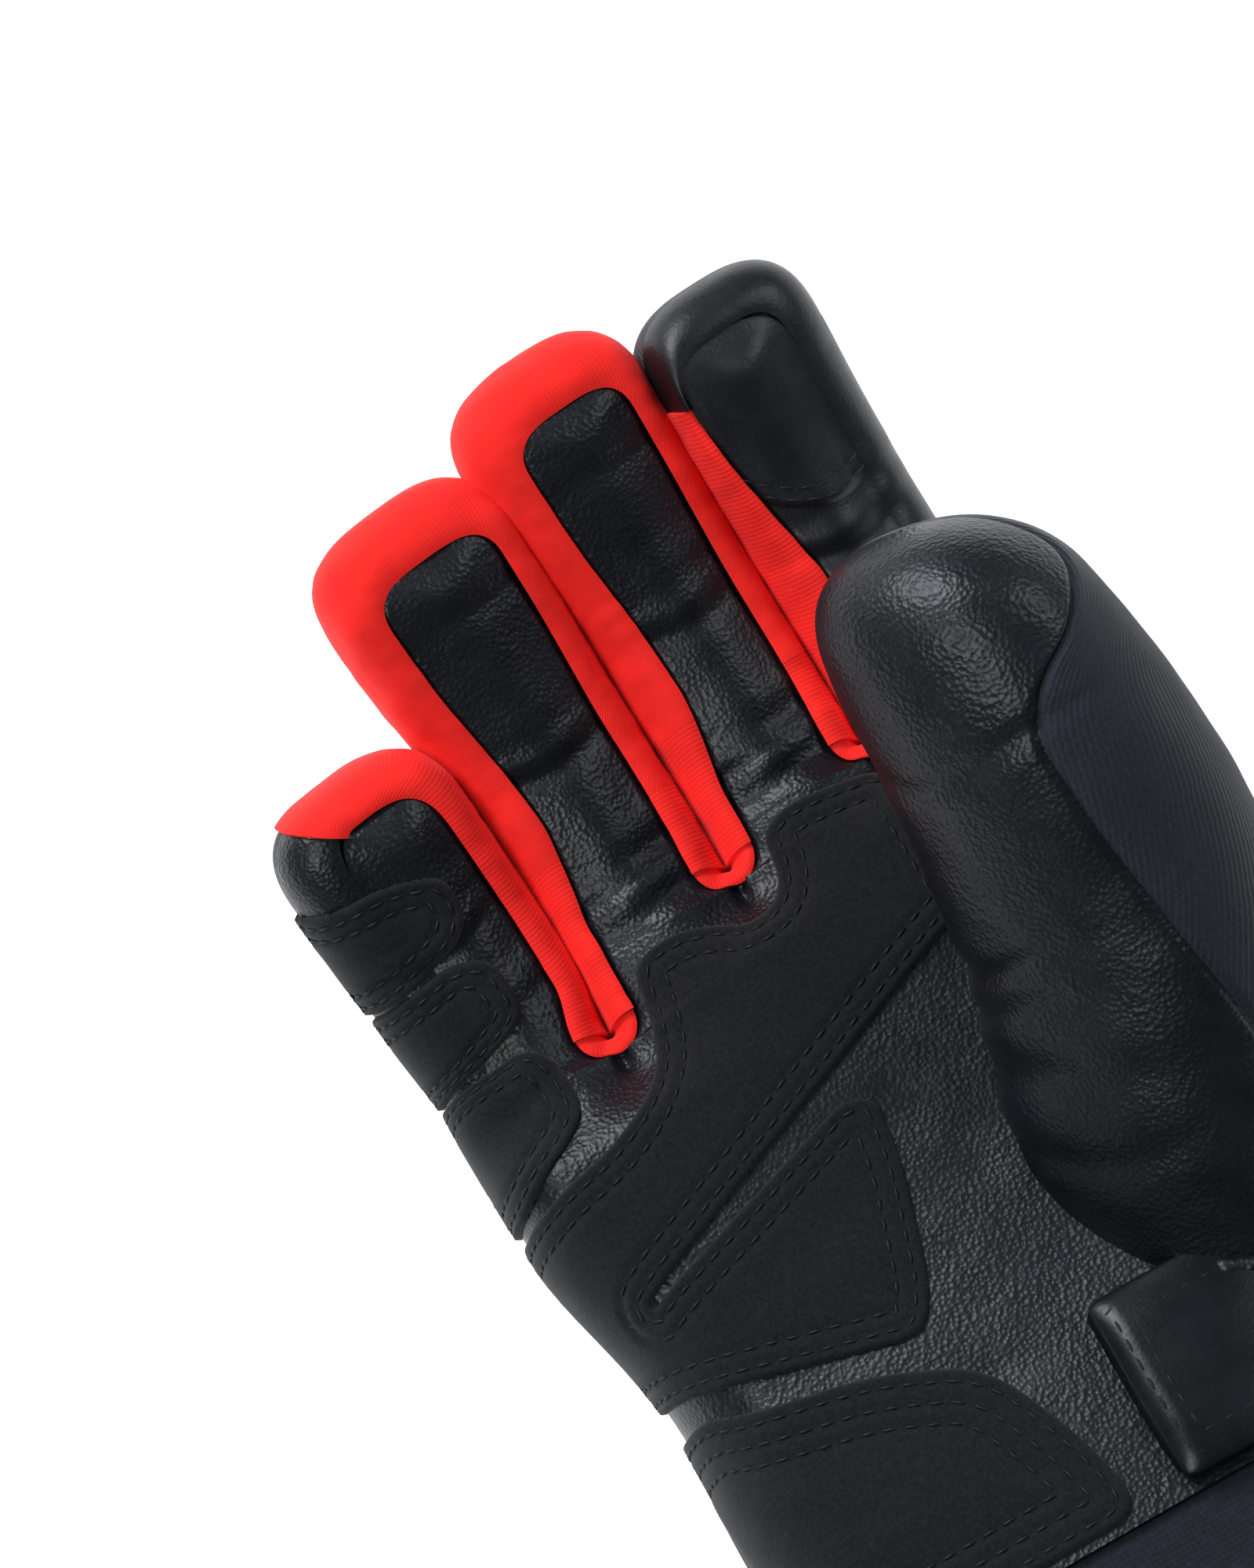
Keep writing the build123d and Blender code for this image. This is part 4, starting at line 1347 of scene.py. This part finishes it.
# ---- the gauntlet ----
# y, half width, height of the palm side, height of the back side
cuff_rings = np.array([
    (-158.0, 58.5, 67.5, 2.6),
    (-149.0, 59.0, 68.0, 2.4),
    (-128.0, 57.5, 67.0, 2.4),
    (-108.0, 53.5, 62.0, 3.0),
    (-96.0, 51.5, 58.0, 4.2),
    (-84.0, 49.5, 54.5, 6.5),
])


def cuff_section(y, angle, grow=0.0, power=2.8):
    """Ring of the cuff: a superellipse whose half width and heights follow the cuff's rings.

    The angle runs from the palm's middle round the thumb side; grow moves outwards."""
    y, angle = np.broadcast_arrays(y, angle)
    half = through(y, cuff_rings, 1) + grow
    middle = (through(y, cuff_rings, 2) + through(y, cuff_rings, 3)) / 2
    rise = (through(y, cuff_rings, 2) - through(y, cuff_rings, 3)) / 2 + grow
    sine, cosine = np.sin(angle), np.cos(angle)
    x = np.sign(sine) * np.abs(sine) ** (2 / power) * half
    z = middle + np.sign(cosine) * np.abs(cosine) ** (2 / power) * rise
    return np.stack([x, y + 0 * x, z], -1)


def cuff_cloth(y, angle, grow=0.0):
    """The cuff's section with soft folds that run round it, deeper towards the wrist."""
    grid = cuff_section(y[:, None], angle[None, :], grow)
    wave = noise(grid * np.array((0.25, 1.0, 0.25)), 11.0, 51) + 0.5 * noise(grid * np.array((0.5, 1, 0.5)), 6.0, 52)
    settle = ease((y + 156) / 14) * (1 - ease((y + 100) / 12))
    return grid + normals_of(grid) * (1.1 * wave * settle[:, None])[..., None]


class GLOVE_OT_cuff(bpy.types.Operator):
    """Gauntlet shells, the bound hem at its mouth and the fleece inside"""
    bl_idname = "glove.cuff"
    bl_label = "Cuff"

    def execute(self, context):
        y = steps(-158, -87.5, 1.2)
        turn = 1.72
        arcs = (
            ("gauntlet_palm", "cuff_fabric", np.linspace(-turn, turn, 150)),
            ("gauntlet_back", "softshell", np.linspace(turn, 2 * pi - turn, 130)),
        )
        for name, finish, angle in arcs:
            make_piece(
                f"{name}_cloth", [(cuff_cloth(y, angle), False, 0, False)], [finishes[finish]], "hand",
                [name], wall(),
            )
        ring = np.linspace(0, 2 * pi, 260, endpoint=False)
        lap = np.linspace(0, 1, 24)
        out = 1.7 * np.sin(pi * np.clip(lap * 1.25, 0, 1)) ** 0.6
        grow = np.where(lap < 0.8, out, -2.6 * (lap - 0.8) / 0.2)
        lap_y = np.where(lap < 0.8, -149.0 - 9.6 * lap / 0.8, -158.6 + 3.4 * (lap - 0.8) / 0.2)
        hem = cuff_section(lap_y[:, None], ring[None, :], grow[:, None])
        make_piece(
            "cuff_hem_binding", [(hem, True, 0, True)], [finishes["binding"]], "hand", ["cuff_hem"], 0.6,
        )
        y = steps(-157.5, -86, 1.6)
        lining = cuff_section(y[:, None], ring[None, :], -2.3)
        lining = lining + normals_of(lining) * (0.35 * noise(lining, 5.0, 55))[..., None]
        make_piece(
            "cuff_lining_fleece", [(lining, True, 0, True)], [finishes["fleece"]], "hand",
            ["cuff_lining"], 0.8,
        )
        return {"FINISHED"}


# ---- the wrist strap ----
def ring_point(q, y, lift):
    """Point round the wrist: q is the length from the palm's middle past the thumb side to the back.

    It follows the wrist's section, a superellipse, by an even table of its own length."""
    q, y, lift = np.broadcast_arrays(q, y, lift)
    angle = np.linspace(0, pi + 1.2, 500)
    middle = cuff_like(np.full(500, -73.0), angle, 0.0)
    walk = np.concatenate([[0], np.cumsum(np.linalg.norm(np.diff(middle, axis=0), axis=1))])
    return cuff_like(y, np.interp(q, walk, angle), lift)


def cuff_like(y, angle, lift, power=3.0):
    """The wrist's section between the palm and the back, grown outwards by lift."""
    palm, back = through(y, girths, 1), through(y, girths, 2)
    half = through(y, girths, 4) + lift
    middle, rise = (palm + back) / 2, (palm - back) / 2 + lift
    sine, cosine = np.sin(angle), np.cos(angle)
    x = np.sign(sine) * np.abs(sine) ** (2 / power) * half
    z = middle + np.sign(cosine) * np.abs(cosine) ** (2 / power) * rise
    return np.stack([x, y, z], -1)


strap_low, strap_high = -88.0, -58.0
strap_sewn = 10.0       # length round the wrist at the sewn end


def strap_grid(start, stop, thick, lift, margin=0.0, plump=0.8):
    """A padded strap along the wrist: a flattened closed section carried along its length.

    Round the section the point runs up one face and down the other; the faces swell towards the
    middle, the edges and both ends are rounded."""
    q = steps(start, stop, 1.0)
    share = np.linspace(0, 2 * pi, 64, endpoint=False)
    end = np.minimum(np.clip((q - start) / 3.0, 0, 1), np.clip((stop - q) / 3.0, 0, 1))
    shrink = np.sqrt(1 - (1 - end) ** 2)[:, None]
    half = (strap_high - strap_low) / 2 - margin
    sine, cosine = np.sin(share)[None, :], np.cos(share)[None, :]
    side = np.sign(cosine) * np.abs(cosine) ** 0.35
    y = (strap_low + strap_high) / 2 + side * (half - 2.0 + 2.0 * shrink)
    up = np.sign(sine) * np.abs(sine) ** 0.6
    puff = 1 + plump * (1 - np.abs(side) ** 4) * np.minimum(1, end[:, None] * 1.0)
    out = lift + thick / 2 + up * thick / 2 * shrink * np.where(up > 0, puff, 1.0)
    return ring_point(q[:, None] + 0 * share[None, :], y, out)


class GLOVE_OT_strap(bpy.types.Operator):
    """Wrist strap from its sewn end on the palm round the thumb side, its free tab and the two tapes"""
    bl_idname = "glove.strap"
    bl_label = "Wrist strap"

    def execute(self, context):
        hinge = pivot("strap_peel")
        side = 48.0
        turn_length = side + 44.0
        hinge_q = turn_length + (side - hinge[0]) - 6
        tab_end = hinge_q + hinge[0] + 32.0
        grids = [(strap_grid(strap_sewn, hinge_q - 2.5, 3.0, 2.2), True, 0, True)]
        piece = make_piece(
            "wrist_strap_leather", grids, [finishes["strap_leather"]], "hand", ["wrist_strap"],
        )
        rail = []
        for margin in (2.6, 5.0):
            first, last, end = strap_high - margin, strap_low + margin, strap_sewn + margin
            y = np.concatenate([[first] * 60, steps(first, last, 1), [last] * 60])
            q = np.concatenate([np.linspace(90, end, 60), [end] * (len(y) - 120), np.linspace(end, 90, 60)])
            edge = 1 + 0.8 * (1 - np.abs((y - (strap_low + strap_high) / 2) / 13.0).clip(0, 1) ** 4)
            at = ring_point(q, y, 2.2 + 1.5 + 1.5 * edge * 0.97)
            rail.append((at, ring_point(q, y, 7.0) - at))
        sew("wrist_strap", rail, "hand")
        make_piece(
            "strap_tab_leather", [(strap_grid(hinge_q + 2.5, tab_end, 2.6, 2.2, plump=0.3), True, 0, True)],
            [finishes["strap_leather"]], "strap_tab", ["strap_tab"],
        )
        for name, body, lift in (("hook_tape", "strap_tab", 1.35), ("loop_tape", "hand", 0.3)):
            make_piece(
                f"{name}_woven", [(strap_grid(hinge_q + 6, tab_end - 3, 0.7, lift, 3.0, 0.0), True, 0, True)],
                [finishes["hook_and_loop"]], body, [name],
            )
        return {"FINISHED"}


# ---- what is inside ----
lining_depth = 3.4      # from a finger's skin to its lining


def stall_tube(finger, start, stop, shrink, closed_end):
    """Closed lining of a finger: a superellipse inside the finger's section, narrowing at the tip."""
    s = steps(start, stop, 2.0)
    if closed_end:
        s = np.concatenate([s[:-1], stop + 11 * np.sin(np.linspace(0, pi / 2, 10))])
    angle = np.linspace(0, 2 * pi, 48, endpoint=False)[None, :]
    way = np.clip((s - stop) / 11.0, 0, 1) if closed_end else 0 * s
    share = (np.sqrt(1 - way**2) + 1e-3)[:, None]
    sine, cosine = np.sin(angle), np.cos(angle)
    half = np.where(sine > 0, half_width(finger, 1, s)[:, None], half_width(finger, -1, s)[:, None]) - shrink
    a = np.sign(sine) * np.abs(sine) ** 0.8 * half * share
    rise = np.where(cosine > 0, panel_rise + 2.0, panel_drop + 2.0) * thinning(finger, s)[:, None] - shrink
    h = np.sign(cosine) * np.abs(cosine) ** 0.8 * rise * share
    return placed(finger, a, s[:, None] + 0 * a, h)


def hand_ring(y, angle, shrink):
    """Ring of the hand's section, inside the skin by shrink."""
    palm, back = through(y, girths, 1) - shrink, through(y, girths, 2) + shrink
    left, right = through(y, girths, 3) + shrink, through(y, girths, 4) - shrink
    centre, half = (left + right) / 2, (right - left) / 2
    middle, rise = (palm + back) / 2, (palm - back) / 2
    sine, cosine = np.sin(angle), np.cos(angle)
    x = centre[:, None] + np.sign(sine) * np.abs(sine) ** 0.6 * half[:, None]
    z = middle[:, None] + np.sign(cosine) * np.abs(cosine) ** 0.6 * rise[:, None]
    return np.stack([x, y[:, None] + 0 * x, z], -1)


class GLOVE_OT_inside(bpy.types.Operator):
    """Insulation and fleece inside the hand, the fingers and the thumb"""
    bl_idname = "glove.inside"
    bl_label = "Insulation and linings"

    def execute(self, context):
        y = steps(-89.5, 0.0, 2.0)
        ring = np.linspace(0, 2 * pi, 120, endpoint=False)[None, :]
        lining = hand_ring(y, ring, 7.6)
        make_piece(
            "hand_lining_fleece", [(lining, False, 0, True)], [finishes["fleece"]], "hand",
            ["hand_lining"], 1.0,
        )
        for name, first, last in (("palm_insulation", -1.5, 1.5), ("back_insulation", 1.62, 2 * pi - 1.62)):
            fill = hand_ring(y, np.linspace(first, last, 70)[None, :], 3.2)
            fill = fill + normals_of(fill) * (0.5 * noise(fill, 9.0, 61))[..., None]
            piece = make_piece(
                f"{name}_wadding", [(fill, False, 0, False)], [finishes["wadding"]], "hand", [name], 3.4,
            )
        for finger in fingers:
            split, base, tip = finger_spans(finger)
            low = stall_tube(finger, finger.bend + 1, split, lining_depth, False)
            high = stall_tube(finger, split, finger.length - 15.5, lining_depth, True)
            for part, grid, body in (("base", low, base), ("tip", high, tip)):
                name = f"{finger.name}_lining_{part}"
                make_piece(
                    name + "_fleece", [(grid, False, 0, True)], [finishes["fleece"]], body, [name], 1.0,
                )
        base, tip = thumb_spans()
        spans = (("base", 45.0, thumb_split, base), ("tip", thumb_split, thumb_length - 4, tip))
        for part, start, stop, body in spans:
            s = steps(start, stop, 1.6)[:, None]
            angle = np.linspace(0, 2 * pi, 60, endpoint=False)[None, :]
            grid = tube_grid(thumb_line, thumb_across, s, angle, thumb_length - 4, 16, 0.0, 4.0)
            name = f"thumb_lining_{part}"
            make_piece(name + "_fleece", [(grid, False, 0, True)], [finishes["fleece"]], body, [name], 1.0)
        return {"FINISHED"}


# ---- the stage ----
view_target = Vector((-7.7, 56.0, 30.0)) * MM
view_distance = 0.583
view_elevation, view_azimuth, view_roll = radians(72), radians(-5), radians(28.6)


class GLOVE_OT_stage(bpy.types.Operator):
    """Camera over the palm, pale floor, soft lights and a bright room"""
    bl_idname = "glove.stage"
    bl_label = "Stage"

    def execute(self, context):
        scene = context.scene
        camera = bpy.data.objects.new("camera", bpy.data.cameras.new("camera"))
        scene.collection.objects.link(camera)
        scene.camera = camera
        camera.data.sensor_width = 36.0
        camera.data.lens = 81.0
        camera.data.clip_start = 0.01
        forward = Vector((
            -sin(view_azimuth) * cos(view_elevation), cos(view_elevation) * cos(view_azimuth), -sin(view_elevation),
        )).normalized()
        back = -forward
        up = Vector((sin(view_roll), cos(view_roll), 0.0))
        right = up.cross(back).normalized()
        up = back.cross(right)
        camera.matrix_world = Matrix.Translation(view_target - forward * view_distance) @ Matrix(
            (right, up, back)
        ).transposed().to_4x4()

        floor = bpy.data.meshes.new("floor")
        reach = 12.0
        floor.from_pydata(
            [(-reach, -reach, 0), (reach, -reach, 0), (reach, reach, 0), (-reach, reach, 0)], [], [(0, 1, 2, 3)]
        )
        ground = bpy.data.objects.new("floor", floor)
        scene.collection.objects.link(ground)
        paper = Finish(
            "pale_floor", (0.9, 0.9, 0.9), 0.9, Specular_IOR_Level=0.1, Emission_Color=(1.0, 1.0, 1.0, 1.0),
            Emission_Strength=0.55,
        )
        floor.materials.append(paper.material)

        world = bpy.data.worlds.new("room")
        world.use_nodes = True
        world.node_tree.nodes["Background"].inputs["Color"].default_value = (0.9, 0.95, 1.0, 1.0)
        world.node_tree.nodes["Background"].inputs["Strength"].default_value = 0.17
        scene.world = world
        scene.view_settings.view_transform = "Standard"
        lamps = (
            ("window", (-0.35, 1.0, 0.9), 0.6, 17.0, (0.90, 0.95, 1.0)),
            ("key", (-0.75, -0.1, 1.2), 0.5, 7.5, (1.0, 1.0, 1.0)),
            ("fill", (0.9, 0.2, 0.9), 0.6, 4.5, (0.95, 0.97, 1.0)),
        )
        for name, place, size, power, colour in lamps:
            lamp = bpy.data.lights.new(name, "AREA")
            lamp.size, lamp.energy, lamp.color = size, power, colour
            made = bpy.data.objects.new(name, lamp)
            scene.collection.objects.link(made)
            made.location = place
            made.rotation_euler = (view_target - Vector(place)).to_track_quat("-Z", "Y").to_euler()
        return {"FINISHED"}


class GLOVE_PT_panel(bpy.types.Panel):
    """Lists the glove's sizes, colours and pieces"""
    bl_idname = "GLOVE_PT_panel"
    bl_label = "Ski glove"
    bl_space_type = "VIEW_3D"
    bl_region_type = "UI"
    bl_category = "Ski glove"

    def draw(self, context):
        for group in (context.scene.glove_sizes, context.scene.glove_colours):
            for name in group.__annotations__:
                self.layout.prop(group, name)
        for operator in operators:
            self.layout.operator(operator.bl_idname)


operators = (
    GLOVE_OT_stage, GLOVE_OT_hand, GLOVE_OT_slits, GLOVE_OT_fingers, GLOVE_OT_thumb, GLOVE_OT_patches,
    GLOVE_OT_knuckle_pad, GLOVE_OT_cuff, GLOVE_OT_strap, GLOVE_OT_inside,
)
classes = (GloveSizes, GloveColours, *operators, GLOVE_PT_panel)


def register():
    for cls in classes:
        bpy.utils.register_class(cls)
    bpy.types.Scene.glove_sizes = bpy.props.PointerProperty(type=GloveSizes)
    bpy.types.Scene.glove_colours = bpy.props.PointerProperty(type=GloveColours)


def unregister():
    del bpy.types.Scene.glove_sizes
    del bpy.types.Scene.glove_colours
    for cls in reversed(classes):
        bpy.utils.unregister_class(cls)


def main():
    """Builds the whole glove."""
    register()
    make_finishes()
    for operator in operators:
        group, name = operator.bl_idname.split(".")
        getattr(getattr(bpy.ops, group), name)()


if __name__ == "__main__":
    main()
